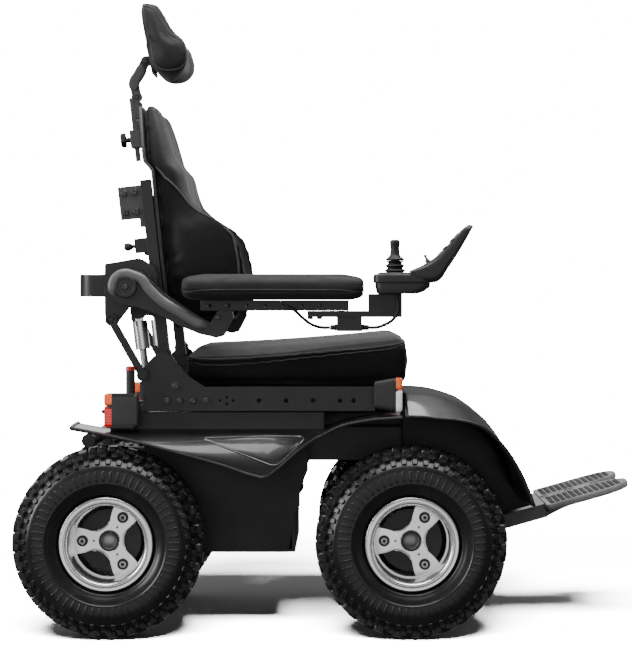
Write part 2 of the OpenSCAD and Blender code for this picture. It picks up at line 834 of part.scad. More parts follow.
// Inner wall of a front wheel arch, under the hood on the right
module arch_wall() {
    crown = [for (s = hood_shares) [rear_x + s[0] * wheelbase - skin_t, s[1] * deck_z - skin_t / 2]];
    tail = [crown[len(crown) - 1].x - skin_t, hood_wall_low];
    plate(hood_wall_y, skin_t) polygon(concat([[hood_x, spine_z]], crown, [tail]));
}

module front_cover() {
    color("#101112") union() {
        skin([for (s = hood_shares) let (ring = hood_ring(s)) [for (p = [len(ring) - 1 : -1 : 0]) ring[p]]]);
        both() arch_wall();
    }
}

module rear_motors() {
    color("#3a3b3e") both() difference() {
        bar(rear_x, axle_z, motor_r, motor_in, motor_face);
        bar(rear_x, axle_z, shaft_r + pin_fit, shaft_in - cut, motor_face + cut);
    }
}

module rear_lamp_housings() {
    y = seat_w / 2 + rear_lamp_gap;
    color("#1c1d1f") both() {
        translate([rear_lamp_x, -y - lamp_w, rear_lamp_z]) cube([lamp_l, lamp_w, lamp_h]);
        translate([rear_lamp_x, -y - cut, beam_z])
            cube([tilt_x - tilt_eye_r - rear_lamp_x, y + cut - beam_y, lamp_arm_h]);
    }
    translate([rear_lamp_x + lamp_l * post_share, -y - post_out, rear_lamp_z + lamp_h]) {
        color("#1c1d1f") cylinder(r = post_r, h = post_h);
        color("#b01c1c") translate([0, 0, post_h]) cylinder(r = post_r - cut, h = post_cap_h);
    }
}

module rear_lamp_lenses() {
    y = seat_w / 2 + rear_lamp_gap;
    both() translate([rear_lamp_x - lens_t, -y - lamp_w, rear_lamp_z]) {
        color("#b01c1c") cube([lens_t, lamp_w, lamp_h - lamp_split]);
        color("#e8852a") translate([0, 0, lamp_h - lamp_split]) cube([lens_t, lamp_w, lamp_split]);
    }
}

module knuckle() {
    color("#3a3b3e") difference() {
        union() {
            translate([front_x, -kingpin_y, axle_z])
                cylinder(r = knuckle_r, h = 2 * (ear_gap - gap), center = true);
            bar(front_x, axle_z, steer_motor_r, steer_motor_in, motor_face);
        }
        translate([front_x, -kingpin_y, axle_z])
            cylinder(r = kingpin_r + pin_fit, h = 2 * ear_gap + cut, center = true);
        bar(front_x, axle_z, shaft_r + pin_fit, shaft_in - cut, motor_face + cut);
    }
}

// Seat

module rail_outline() {
    difference() {
        union() {
            translate([rail_x, rail_z]) square([rail_l, rail_h]);
            polygon(outline([rail_x, rail_z], [side_plate_l, side_plate_h], side_plate_shares));
            translate([tilt_x, tilt_z]) circle(r = tilt_eye_r);
        }
        translate([tilt_x, tilt_z]) circle(r = tilt_r + pin_fit);
        translate([link_x, link_z]) circle(r = link_pin_r + pin_fit);
        for (k = [0 : 3]) translate([rail_x + insert_x + k * insert_pitch, accessory_z]) circle(r = insert_r);
        for (k = [0 : 2]) translate([accessory_x + k * coarse_pitch, accessory_z]) circle(d = accessory_d);
        for (k = [0, 1]) translate([fine_x + k * fine_pitch, accessory_z]) circle(d = accessory_d);
        translate([rail_x + slot_x, accessory_z]) {
            for (s = [-1, 1]) translate([0, s * slot_half / 2]) circle(r = slot_r);
            for (s = [-1, 1]) translate([s * slot_half, 0]) circle(r = slot_r);
        }
    }
}

module seat_rails() {
    color("#333437") both() {
        plate(rail_y, rail_t) rail_outline();
        bar(recline_x, recline_z, recline_r, cane_y - cane_w, rail_y + cut);
    }
}

module seat_pan() {
    color("#28292b") {
        translate([pan_x, -rail_y, pan_z]) cube([rail_end - pan_x, 2 * rail_y, pan_t]);
        for (x = [pan_x + pan_tube_r, rail_end - pan_tube_r])
            both() bar(x, pan_z + pan_t - pan_tube_drop, pan_tube_r, 0, rail_y);
        both() bar(link_x, link_z, link_pin_r, 0, link_in + link_t + cut);
    }
}

// One row of the seat cushion at a share of its length
function cushion_row(s) =
    let (d = min(s, 1 - s) * cushion_l, in = draw_in(d, cushion_round),
        h = cushion_rear_h + (cushion_front_h - cushion_rear_h) * pow(s, cushion_slope_power),
        w = cushion_w / 2)
    [for (p = ring(w - in * cushion_side_share, h / 2 - in * cushion_top_share, cushion_power,
            cushion_point_count))
        let (f = p.y / (h / 2), seam = exp(-pow((f - cushion_seam_share) * seam_sharpness, 2)),
            crown = p.y > 0 ? cushion_crown * (1 - pow(p.x / w, 2)) * (1 - in / cushion_round) : 0)
        [cushion_x + s * cushion_l, p.x * (1 - seam * cushion_draw / w), cushion_z + h / 2 + p.y + crown]];

module seat_cushion() {
    color("#202123") skin([for (s = cushion_rows_shares) cushion_row(s)]);
}

module front_lamp_housings() {
    color("#1c1d1f") both() translate([rail_end - cut, -seat_w / 2 - lamp_w, front_lamp_z]) {
        cube([lamp_l - cut, lamp_w, lamp_h]);
        translate([cut - lamp_l / 2, lamp_w - rail_t / 2, lamp_arm_h / 2])
            cube([lamp_l / 2, rail_t / 2, lamp_arm_h]);
    }
}

module front_lamp_lenses() {
    both() translate([rail_end + lamp_l - 2 * cut, -seat_w / 2 - lamp_w, front_lamp_z]) {
        color("#dfe3e6") cube([front_lens_t, lamp_w, lamp_h - lamp_split]);
        color("#e8852a") translate([0, 0, lamp_h - lamp_split]) cube([front_lens_t, lamp_w, lamp_split]);
    }
}

module rail_bolts() {
    color("#6d7074") both() for (k = [0 : 3])
        bar(rail_x + insert_x + k * insert_pitch, accessory_z, insert_r, rail_y,
            seat_w / 2 + bolt_head_h / 2);
}

// Back

module back_frame() {
    color("#2c2d2f") on_back() {
        both() {
            difference() {
                union() {
                    translate([-cane_d / 2, -cane_y, -cane_foot]) cube([cane_d, cane_w, cane_l + cane_foot]);
                    bar(0, 0, cane_foot, cane_y - cut, rail_y - gap);
                }
                bar(0, 0, recline_r + pin_fit, cane_y - cane_w - cut, rail_y);
            }
            rotate([0, back_lean, 0]) {
                bar(carrier_x - recline_x, carrier_z - recline_z, carrier_r, cane_y - cane_w / 2,
                    bracket_out);
                translate([act_top_x - recline_x, -act_y - act_eye_t, act_top_z - recline_z]) actuator_ear();
            }
            translate([-block_l - cane_d / 2, -cane_y + cane_w / 2, block_z]) {
                translate([0, -block_w / 2, 0]) cube([block_l + cut, block_w, block_h]);
                translate([0, 0, block_h / 2]) rotate([0, -90, 0])
                    cylinder(r = plunger_stem_r, h = plunger_l);
                translate([-plunger_l, 0, block_h / 2]) sphere(r = plunger_r);
            }
        }
        for (z = [low_bar_z, top_bar_z]) translate([-bar_d / 2, -cane_y + cut, z])
            cube([bar_d, 2 * (cane_y - cut), bar_h]);
    }
}

// Lug on the lower back bar that the top of an actuator hangs on
module actuator_ear() {
    t = act_eye_t / 2;
    for (y = [-t - gap, act_eye_t + gap]) {
        translate([0, y, 0]) rotate([-90, 0, 0]) cylinder(r = act_eye_r, h = t);
        translate([0, y, -act_eye_r / 2]) cube([recline_x - act_top_x - cane_d / 2, t, act_eye_r]);
    }
    translate([0, -t, 0]) rotate([-90, 0, 0]) cylinder(r = act_pin_r, h = 2 * act_eye_t);
}

function setback_at(s) = setback * lookup(s, setback_shares);

module back_shell() {
    color("#1c1d1f") on_back() skin([for (s = shell_rows_shares)
        let (w = back_w / 2 * lookup(s, half_width_shares) - shell_t, x = shell_x - setback_at(s),
            z = back_z + s * back_h)
        [[x, w, z], [x, -w, z], [x + shell_t, -w, z], [x + shell_t, w, z]]]);
}

// One row of the back cushion at a share of its height
function back_row(s) =
    let (in = draw_in(min(s, 1 - s) * back_h, back_round), x0 = pad_x - setback_at(s),
        z = back_z + s * back_h, rear = x0 + in * back_rear_share,
        w = back_w / 2 * lookup(s, half_width_shares) - in * back_side_share,
        xc = x0 + wing_d * lookup(s, lumbar_shares) - in, xw = x0 + wing_d * lookup(s, wing_shares) - in)
    concat([for (i = [0 : back_across])
            let (v = 2 * i / back_across - 1, edge = abs(v) == 1 ? back_round * wing_edge_share : 0,
                x = xc + (xw - xc) * pow(abs(v), wing_power) - edge)
            [max(x, rear + cut), w * spow(v, across_power), z]],
        [for (i = [back_across : -1 : 0]) let (v = 2 * i / back_across - 1)
            [rear, w * spow(v, across_power), z]]);

module back_pad() {
    color("#202123") on_back() skin([for (s = back_rows_shares) back_row(s)]);
}

module back_brackets() {
    color("#8b8e92") on_back() {
        both() translate([-cane_d / 2 - bracket_back, -cane_y + cane_w - bracket_w, bracket_z])
            difference() {
                cube([bracket_back, bracket_w, bracket_h]);
                for (s = bracket_bolt_x_shares, t = bracket_bolt_z_shares)
                    translate([s * bracket_back, -cut, t * bracket_h]) rotate([-90, 0, 0])
                        cylinder(r = bolt_r, h = bracket_w + 2 * cut);
            }
        difference() {
            translate([head_clamp_x, -head_clamp_w / 2, head_clamp_z])
                cube([head_clamp_d, head_clamp_w, head_clamp_h]);
            translate([stem_x - gap, -stem_w / 2 - gap, head_clamp_z - cut])
                cube([stem_d + 2 * gap, stem_w + 2 * gap, head_clamp_h + 2 * cut]);
        }
        translate([head_clamp_x, 0, head_clamp_z + head_clamp_h / 2]) rotate([0, -90, 0]) {
            cylinder(r = knob_stem_r, h = knob_stem_l);
            translate([0, 0, knob_stem_l]) cylinder(r = knob_r, h = knob_t);
        }
    }
}

// Recline actuators

module on_actuator() {
    translate([link_x, 0, link_z]) rotate([0, -act_angle, 0]) children();
}

module actuator_rods() {
    color("#9b9ea2") both() on_actuator() difference() {
        union() {
            bar(0, 0, act_eye_r, act_y, act_y + act_eye_t);
            translate([0, -act_y - act_eye_t / 2, 0]) cylinder(r = act_rod_r, h = act_l * act_rod_top_share);
        }
        bar(0, 0, link_pin_r + pin_fit, act_y - cut, act_y + act_eye_t + cut);
    }
}

module actuator_tubes() {
    color("#c4c6c9") both() on_actuator() difference() {
        union() {
            translate([0, -act_y - act_eye_t / 2, act_l * act_tube_low_share])
                cylinder(r = act_tube_r, h = act_l * (1 - act_tube_low_share) - act_eye_r - act_neck);
            bar(0, act_l, act_eye_r, act_y, act_y + act_eye_t);
            translate([-act_rod_r, -act_y - act_eye_t, act_l - act_eye_r * 2])
                cube([2 * act_rod_r, act_eye_t, act_eye_r * 2]);
        }
        bar(0, act_l, act_pin_r + act_slack, act_y - cut, act_y + act_eye_t + cut);
        translate([0, -act_y - act_eye_t / 2, act_l * act_tube_low_share - cut])
            cylinder(r = act_rod_r + pin_fit,
                h = act_l * (act_rod_top_share - act_tube_low_share) + act_stroke + 2 * cut);
    }
}

// Arm carrier

module arm_brackets() {
    color("#2c2d2f") both() {
        plate(bracket_in, bracket_t) difference() {
            union() {
                polygon(outline([carrier_x, carrier_z], [bracket_l, bracket_hgt], bracket_shares));
                translate([link_top_x, link_top_z]) circle(r = link_eye_r);
            }
            translate([carrier_x, carrier_z]) circle(r = carrier_r + pin_fit);
        }
        bar(hub_x, hub_z, hub_spigot_r, bracket_in + cut, lever_in + lever_t + cut);
        bar(hub_x, hub_z, hub_cap_r, lever_in + lever_t + cut, lever_in + lever_t + bolt_head_h);
        bar(link_top_x, link_top_z, act_pin_r, bracket_in + cut, link_in + link_t);
    }
}

module push_bar() {
    half = bracket_out - bracket_t / 4;
    color("#2c2d2f") translate([push_bar_x, 0, push_bar_z]) linear_extrude(push_bar_h) difference() {
        push_outline(half, 0);
        push_outline(half - push_bar_t, push_bar_t);
        translate([0, -half - cut]) square([2 * push_bar_l, 2 * half + 2 * cut]);
    }
}

// Outline round the push bar as seen from above, drawn in by a wall
module push_outline(half, wall) {
    r = push_bar_round - wall;
    back = wall - push_bar_l;
    translate([back, r - half]) square([2 * push_bar_l, 2 * (half - r)]);
    translate([back + r, -half]) square([2 * push_bar_l, 2 * half]);
    for (s = [-1, 1]) translate([back + r, s * (half - r)]) circle(r = r);
}

module arm_links() {
    foot = [link_x, link_z];
    top = [link_top_x, link_top_z];
    color("#26272a") both() plate(link_in, link_t) difference() {
        union() {
            for (p = [foot, top]) translate(p) circle(r = link_eye_r);
            translate(foot) rotate(atan2(top.y - foot.y, top.x - foot.x))
                translate([0, -link_half_w]) square([norm(top - foot), 2 * link_half_w]);
        }
        translate(foot) circle(r = link_pin_r + pin_fit);
        translate(top) circle(r = act_pin_r + link_slack);
    }
}

// Armrests

module arm_lever() {
    color("#36373a") difference() {
        union() {
            plate(lever_in, lever_t) difference() {
                union() {
                    translate([hub_x, hub_z]) circle(r = hub_r);
                    polygon(outline([hub_x, hub_z], [lever_l, lever_h], lever_shares));
                }
                translate([hub_x, hub_z]) circle(r = hub_spigot_r + pin_fit);
            }
            translate([arm_rail_x, -arm_y - arm_rail_w / 2, arm_rail_z])
                cube([arm_rail_l, arm_rail_w, arm_rail_h]);
        }
        for (k = [0 : arm_slots - 1])
            bar(arm_rail_x + arm_rail_l / 2 + (k - arm_slots / 2) * arm_slot_pitch,
                arm_rail_z + arm_rail_h / 2, arm_slot_r, arm_y - arm_rail_w, arm_y + arm_rail_w);
    }
}

function pad_row(s) =
    let (in = draw_in(min(s, 1 - s) * pad_l, pad_round), w = pad_w / 2 - in * pad_side_share,
        h = pad_h / 2 - in * pad_top_share)
    [for (p = ring(w, h, pad_power, pad_point_count))
        let (seam = exp(-pow((p.y / h - pad_seam_share) * seam_sharpness, 2)))
        [pad_start + s * pad_l, p.x * (1 - seam * pad_draw / w) - arm_y, pad_z + pad_h / 2 + p.y]];

module arm_pad() {
    color("#202123") skin([for (s = pad_rows_shares) pad_row(s)]);
}

// Joystick pod

module control_bar() {
    color("#26272a") {
        translate([bar_x, -arm_y - bar_w / 2, bar_z]) cube([bar_l, bar_w, bar_t]);
        translate([mount_x, -arm_y - bar_w / 2, mount_z]) cube([mount_l, bar_w, pod_z - mount_z]);
        for (x = [bar_x + bar_foot_r, bar_x + bar_foot_l])
            translate([x, -arm_y, bar_z - bolt_head_h]) cylinder(r = bar_foot_r, h = bolt_head_h);
    }
}

module junction_box() {
    color("#1c1d1f") {
        translate([junction_x, -arm_y - junction_w / 2, bar_z - junction_h])
            cube([junction_l, junction_w, junction_h]);
        for (x = [junction_x - gland_l, junction_x + junction_l])
            translate([x, -arm_y - gland_r, gland_z]) rotate([0, 90, 0]) cylinder(r = gland_r, h = gland_l);
    }
}

module control_cables() {
    color("#151516") {
        for (bends = [cable_rear_bends, cable_front_bends])
            tube([for (b = bends) b + [junction_x, -arm_y, gland_z]], cable_r, cable_side_count);
    }
}

module pod_body() {
    color("#17181a") difference() {
        union() {
            plate(arm_y - pod_w / 2, pod_w) polygon(outline([pod_x, pod_z], [pod_l, pod_h], pod_shares));
            translate([stick_x, -arm_y, pod_z + pod_h]) cylinder(r = collar_r, h = collar_h);
        }
        translate([stick_x, -arm_y, pod_z + pod_h - well_d])
            cylinder(r = well_r, h = well_d + collar_h + cut);
        bar(stick_x, pivot_z, gimbal_pin_r + pin_fit, arm_y - well_r - gimbal_sink - gap,
            arm_y + well_r + gimbal_sink + gap);
    }
}

module pod_panel() {
    color("#17181a") difference() {
        plate(arm_y - pod_w / 2, pod_w)
            polygon(outline([panel_x, panel_z], [panel_l, panel_rise], pod_panel_shares));
        translate([stick_x, -arm_y, panel_z - cut]) cylinder(r = collar_r + gap, h = panel_rise);
        for (s = [power_share, horn_share]) on_panel(s)
            translate([0, 0, button_proud - button_h - button_travel - gap])
                cylinder(r = button_r + gap, h = 2 * button_h);
        bar(toggle_x, toggle_z, toggle_eye_r + gap, arm_y - toggle_w / 2 - gap, arm_y + toggle_w / 2 + gap);
    }
}

// Places a button on the sloping face of the panel, at a share of its length
module on_panel(s) {
    face = pod_panel_shares[10];
    tip = pod_panel_shares[9];
    k = (s - face.x) / (tip.x - face.x);
    translate([panel_x + panel_l * s, -arm_y, panel_z + panel_rise * (face.y + k * (tip.y - face.y))])
        rotate([0, -button_turn, 0]) children();
}

module panel_button(s) {
    color("#3c3e42") on_panel(s)
        translate([0, 0, button_proud - button_h]) cylinder(r = button_r, h = button_h);
}

module speed_toggle() {
    color("#3c3e42") translate([toggle_x, 0, toggle_z]) {
        bar(0, 0, toggle_eye_r, arm_y - toggle_w / 2, arm_y + toggle_w / 2);
        translate([0, -arm_y, 0]) rotate([0, -toggle_lean, 0]) cylinder(r = toggle_r, h = toggle_l);
    }
}

module joystick_gimbal() {
    color("#9b9ea2") on_stick() {
        difference() {
            cylinder(r = gimbal_out, h = gimbal_h, center = true);
            cylinder(r = gimbal_in, h = gimbal_h + cut, center = true);
            rotate([0, 90, 0]) cylinder(r = stick_pin_r + pin_fit, h = 2 * gimbal_out + cut, center = true);
        }
        for (s = [-1, 1]) rotate([s * 90, 0, 0]) translate([0, 0, gimbal_in + cut])
            cylinder(r = gimbal_pin_r, h = well_r + gimbal_sink - gimbal_in - cut);
    }
}

// Places the crossing point of the joystick's two axes
module on_stick() {
    translate([stick_x, -arm_y, pivot_z]) children();
}

module joystick_stick() {
    color("#202123") on_stick() {
        sphere(r = ball_r);
        rotate([0, 90, 0]) cylinder(r = stick_pin_r, h = 2 * (gimbal_out - gap), center = true);
        cylinder(r = stick_r, h = knob_low + cut);
        translate([0, 0, knob_low]) {
            cylinder(r1 = knob_skirt_r, r2 = knob_waist_r, h = knob_skirt_h * 2);
            cylinder(r = knob_waist_r, h = knob_l - knob_top_r);
            translate([0, 0, knob_l - knob_top_r]) sphere(r = knob_top_r);
        }
    }
}

// Half section of the bellows: radii waver as they fall from the foot to the neck
function boot_r(t) = boot_low_r + (boot_top_r - boot_low_r) * t + boot_rib / 2 * cos(t * 360 * boot_ribs);

module joystick_boot() {
    steps = boot_ribs * boot_rib_steps;
    outer = [for (i = [0 : steps]) [boot_r(i / steps), boot_h * i / steps]];
    inner = [for (i = [steps - 2 : -1 : 0]) [boot_r(i / steps) - boot_wall, boot_h * i / steps]];
    neck = [[stick_r + pin_fit, boot_h], [stick_r + pin_fit, boot_h * (1 - 2 / steps)]];
    color("#151516") translate([stick_x, -arm_y, pivot_z + boot_z])
        rotate_extrude() polygon(concat(outer, neck, inner));
}

// Head rest

module headrest_stem() {
    color("#2c2d2f") on_back() {
        difference() {
            union() {
                translate([stem_x, -stem_w / 2, stem_z]) cube([stem_d, stem_w, stem_l]);
                bar(knuckle_x, knuckle_z, knuckle_eye_r, -stem_w / 2, stem_w / 2);
            }
            bar(knuckle_x, knuckle_z, knuckle_eye_r + cut, -head_arm_t / 2 - gap, head_arm_t / 2 + gap);
        }
        bar(knuckle_x, knuckle_z, knuckle_pin_r, -stem_w / 2, stem_w / 2);
    }
}

module headrest_arm() {
    color("#2c2d2f") on_back() plate(-head_arm_t / 2, head_arm_t) difference() {
        union() {
            for (p = [[knuckle_x, knuckle_z], [arm_elbow_x, arm_elbow_z], [arm_eye_x, arm_eye_z]])
                translate(p) circle(r = head_arm_r);
            head_link([knuckle_x, knuckle_z], [arm_elbow_x, arm_elbow_z]);
            head_link([arm_elbow_x, arm_elbow_z], [arm_eye_x, arm_eye_z]);
        }
        for (p = [[knuckle_x, knuckle_z], [arm_eye_x, arm_eye_z]])
            translate(p) circle(r = knuckle_pin_r + pin_fit);
    }
}

// Plate on the back of the head rest, with two ears and a pin for its arm
module headrest_plate() {
    ear_in = head_arm_t / 2 + gap;
    ear_out = ear_in + head_ear_t;
    color("#2c2d2f") on_back() {
        translate([head_plate_x, 0, arm_eye_z]) rotate([0, -head_plate_turn, 0])
            translate([-head_plate_t, -head_plate_w / 2, -head_plate_h / 2])
                cube([head_plate_t, head_plate_w, head_plate_h]);
        both() {
            bar(arm_eye_x, arm_eye_z, head_arm_r, ear_in, ear_out);
            translate([arm_eye_x, -ear_out, arm_eye_z - head_arm_r])
                cube([head_plate_x - arm_eye_x - head_plate_t / 2, head_ear_t, 2 * head_arm_r]);
        }
        bar(arm_eye_x, arm_eye_z, knuckle_pin_r, -ear_out, ear_out);
    }
}

// Straight stretch of the head rest's arm between two centres
module head_link(a, b) {
    translate(a) rotate(atan2(b.y - a.y, b.x - a.x))
        translate([0, -head_arm_r]) square([norm(b - a), 2 * head_arm_r]);
}

function head_row(v) =
    let (k = lookup(abs(v), head_shrink_shares), mid = head_middle_shares, dip = head_hollow * (1 - v * v))
    [for (s = head_outline_shares) let (q = mid + (s - mid) * k)
        [head_x + head_d * q.x - (s.x > mid.y ? dip * s.x : 0), -v * head_w / 2, head_z + head_h * q.y]];

module headrest_pad() {
    color("#202123") on_back() skin([for (v = head_rows_shares) head_row(v)]);
}

// Foot rest

module footrest_beam() {
    color("#26272a") on_foot() {
        translate([-foot_beam_l, -foot_beam_half_w, -foot_beam_t])
            cube([foot_beam_l - gap, 2 * foot_beam_half_w, foot_beam_t]);
        translate([-gap, -foot_bar_half_w, -foot_beam_t])
            cube([foot_bar_l + gap, 2 * foot_bar_half_w, foot_bar_t]);
        both() {
            for (k = [0 : foot_ears - 1]) translate([k * foot_ear_pitch, -foot_hinge_y, -foot_t / 2]) {
                rotate([0, 90, 0]) cylinder(r = foot_eye_r, h = foot_ear_l);
                translate([0, -foot_eye_r, foot_t / 2 - foot_beam_t])
                    cube([foot_ear_l, 2 * foot_eye_r, foot_beam_t - foot_t / 2]);
            }
            translate([0, -foot_hinge_y, -foot_t / 2]) rotate([0, 90, 0])
                cylinder(r = foot_pin_r, h = foot_bar_l);
        }
    }
}

// Outline of the right foot plate with its rounded tip, as seen from above
module foot_outline() {
    half = foot_w / 2;
    translate([0, -half]) square([foot_l - foot_round, half - foot_in]);
    for (y = [foot_round - half, -foot_in - foot_round])
        translate([foot_l - foot_round, y]) circle(r = foot_round);
    translate([foot_l - foot_round, foot_round - half]) square([foot_round, half - foot_in - 2 * foot_round]);
}

module footplate() {
    eye_l = foot_ear_pitch - foot_ear_l - 2 * gap;
    color("#8b8d90") on_foot() difference() {
        union() {
            translate([0, 0, -foot_t]) linear_extrude(foot_t) foot_outline();
            for (k = [0 : foot_ears - 2]) translate([k * foot_ear_pitch + foot_ear_l + gap, 0, 0]) {
                translate([0, -foot_hinge_y, -foot_t / 2]) rotate([0, 90, 0])
                    cylinder(r = foot_eye_r, h = eye_l);
                translate([0, -foot_in - cut, -foot_t]) cube([eye_l, foot_in + cut - foot_hinge_y, foot_t]);
            }
            for (i = [1 : tread_columns], j = [1 : tread_rows])
                translate([i * tread_pitch, -foot_in - j * tread_across, 0])
                    rotate((i + j) % 2 == 0 ? 45 : -45) cube([tread_l, tread_w, 2 * tread_h], center = true);
        }
        translate([-cut, -foot_hinge_y, -foot_t / 2]) rotate([0, 90, 0])
            cylinder(r = foot_pin_r + pin_fit, h = foot_bar_l + 2 * cut);
    }
}

chassis_frame();
batteries();
side_panels();
shroud();  // shroud_right
left() shroud();  // shroud_left
front_cover();
rear_motors();
rear_lamp_housings();
rear_lamp_lenses();
footrest_beam();
on_axle(rear_x) tyre();  // tyre_rear_right
on_axle(rear_x) rim();  // rim_rear_right
on_axle(rear_x) hub();  // hub_rear_right
left() on_axle(rear_x) tyre();  // tyre_rear_left
left() on_axle(rear_x) rim();  // rim_rear_left
left() on_axle(rear_x) hub();  // hub_rear_left
on_axle(front_x) tyre();  // tyre_front_right
on_axle(front_x) rim();  // rim_front_right
on_axle(front_x) hub();  // hub_front_right
left() on_axle(front_x) tyre();  // tyre_front_left
left() on_axle(front_x) rim();  // rim_front_left
left() on_axle(front_x) hub();  // hub_front_left
knuckle();  // knuckle_right
left() knuckle();  // knuckle_left
seat_rails();
seat_pan();
seat_cushion();
front_lamp_housings();
front_lamp_lenses();
rail_bolts();
back_frame();
back_shell();
back_pad();
back_brackets();
actuator_tubes();
actuator_rods();
arm_brackets();
push_bar();
arm_links();
arm_lever();  // arm_lever_right
left() arm_lever();  // arm_lever_left
arm_pad();  // arm_pad_right
left() arm_pad();  // arm_pad_left
control_bar();
junction_box();
control_cables();
pod_body();
pod_panel();
joystick_gimbal();
joystick_stick();
joystick_boot();
panel_button(power_share);  // power_button
panel_button(horn_share);  // horn_button
speed_toggle();
headrest_stem();
headrest_arm();
headrest_plate();
headrest_pad();
footplate();  // footplate_right
left() footplate();  // footplate_left
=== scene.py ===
"""Finishes, soft forms and fine detail of an all-terrain power wheelchair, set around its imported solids.

Lengths in the classes are millimetres in the part's own frame: X forward, Y to the rider's left, Z up.
"""

import logging
from dataclasses import dataclass
from enum import Enum
from typing import Any, Optional, Sequence

import bmesh
import bpy
import numpy as np
from mathutils import Matrix, Vector


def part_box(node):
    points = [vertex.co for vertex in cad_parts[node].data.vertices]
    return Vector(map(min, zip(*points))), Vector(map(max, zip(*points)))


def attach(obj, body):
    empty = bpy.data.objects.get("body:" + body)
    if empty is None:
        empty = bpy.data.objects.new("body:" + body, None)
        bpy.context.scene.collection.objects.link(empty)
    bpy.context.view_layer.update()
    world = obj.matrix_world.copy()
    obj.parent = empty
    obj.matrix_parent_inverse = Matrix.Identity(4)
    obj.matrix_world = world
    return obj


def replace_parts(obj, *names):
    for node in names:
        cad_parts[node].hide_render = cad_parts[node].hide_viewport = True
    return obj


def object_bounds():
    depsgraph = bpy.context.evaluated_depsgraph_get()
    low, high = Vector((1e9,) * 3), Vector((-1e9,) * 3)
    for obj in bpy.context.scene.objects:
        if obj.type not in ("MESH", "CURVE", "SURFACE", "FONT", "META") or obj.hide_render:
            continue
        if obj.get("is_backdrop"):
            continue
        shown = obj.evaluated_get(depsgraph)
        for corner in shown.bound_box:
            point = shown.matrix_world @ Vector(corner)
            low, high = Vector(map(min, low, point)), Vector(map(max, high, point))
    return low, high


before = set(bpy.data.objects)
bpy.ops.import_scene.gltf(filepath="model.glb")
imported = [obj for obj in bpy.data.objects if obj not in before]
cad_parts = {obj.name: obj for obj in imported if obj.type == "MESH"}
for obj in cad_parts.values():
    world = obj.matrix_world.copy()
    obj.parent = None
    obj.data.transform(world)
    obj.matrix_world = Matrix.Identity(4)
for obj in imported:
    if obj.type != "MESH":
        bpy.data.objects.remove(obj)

LOG = logging.getLogger("wheelchair")
Array = np.ndarray
Colour = tuple[float, float, float, float]
Point = tuple[float, float, float]
Pair = tuple[float, float]
Object = bpy.types.Object
MM = 0.001


class Side(Enum):
    """A side of the chair as the rider sits, by the sign of Y."""

    RIGHT = -1
    LEFT = 1

    @property
    def word(self) -> str:
        """The side's name as it stands in the nodes."""
        return self.name.lower()


# Curves and surfaces


def signed_power(value: Array, power: float) -> Array:
    """A power of the size of a value that keeps its sign."""
    return np.sign(value) * np.abs(value) ** power


def turns(count: int) -> Array:
    """Even angles round a full turn."""
    return np.arange(count) * 2 * np.pi / count


def eased(count: int) -> Array:
    """Shares from 0 to 1 that lie closer together at both ends."""
    return 0.5 - 0.5 * np.cos(np.linspace(0.0, np.pi, count))


def cross_shares(count: int) -> Array:
    """Shares from -1 to 1 that lie closer together at both ends."""
    return np.sin(np.linspace(-np.pi / 2, np.pi / 2, count))


def spread(x: Any, y: Any, z: Any) -> Array:
    """Three coordinates, spread to one shape, as points."""
    return np.stack(np.broadcast_arrays(x, y, z), axis=-1)


def smoothstep(value: Array, low: float, high: float) -> Array:
    """Cubic ease from 0 at low to 1 at high."""
    t = np.clip((value - low) / (high - low), 0.0, 1.0)
    return t * t * (3.0 - 2.0 * t)


def end_draw(share: Array, length: float, radius: float) -> Array:
    """How far both rounded ends of a length draw in: a quarter circle of the radius, zero past it."""
    t = np.clip(1.0 - np.minimum(share, 1 - share) * length / radius, 0.0, 1.0)
    return radius * (1.0 - np.sqrt(1.0 - t * t))


def hermite(knots: Sequence[float], values: Any, at: Array) -> Array:
    """Cubic through values at knots, each slope that of the parabola through its neighbours.

    Args:
        knots: Rising places of the values.
        values: One value or one row of values for each knot.
        at: Places to read.
    Returns:
        A value or a row for each place.
    """
    k, v = np.asarray(knots, float), np.asarray(values, float)
    v = v.reshape(len(k), -1)
    slope = np.gradient(v, k, axis=0)
    i = np.clip(np.searchsorted(k, at, side="right") - 1, 0, len(k) - 2)
    h = (k[i + 1] - k[i])[..., None]
    u = (np.asarray(at) - k[i])[..., None] / h
    out = (
        (2 * u**3 - 3 * u**2 + 1) * v[i]
        + (u**3 - 2 * u**2 + u) * h * slope[i]
        + (3 * u**2 - 2 * u**3) * v[i + 1]
        + (u**3 - u**2) * h * slope[i + 1]
    )
    return out[..., 0] if np.ndim(values) == 1 else out


def read_table(table: tuple, at: Array) -> Array:
    """A table of places and values read smoothly, and held past its ends."""
    k, v = np.asarray(table, float).T
    return hermite(k, v, np.clip(at, k[0], k[-1]))


def chord_run(points: Array) -> Array:
    """Distance along the chords up to each point."""
    return np.concatenate([[0.0], np.cumsum(np.linalg.norm(np.diff(points, axis=0), axis=1))])


def smooth_curve(points: Any, count: int) -> Array:
    """A smooth curve through points, sampled evenly along its chords.

    Args:
        points: Rows of coordinates.
        count: Samples to give.
    Returns:
        One row for each sample.
    """
    p = np.asarray(points, float)
    run = chord_run(p)
    return hermite(run, p, np.linspace(0.0, run[-1], count))


def rounded_loop(corners: Any, count: int, blur: int) -> Array:
    """A closed outline with soft corners: even samples along the sides, averaged with their neighbours.

    Args:
        corners: Corners in order.
        count: Samples to give.
        blur: Neighbours on each side that share in the mean.
    Returns:
        One row for each sample.
    """
    p = np.asarray(corners, float)
    p = np.vstack([p, p[:1]])
    run = chord_run(p)
    at = np.linspace(0.0, run[-1], count, endpoint=False)
    even = np.stack([np.interp(at, run, p[:, c]) for c in range(p.shape[1])], axis=-1)
    return np.mean([np.roll(even, s, axis=0) for s in range(-blur, blur + 1)], axis=0)


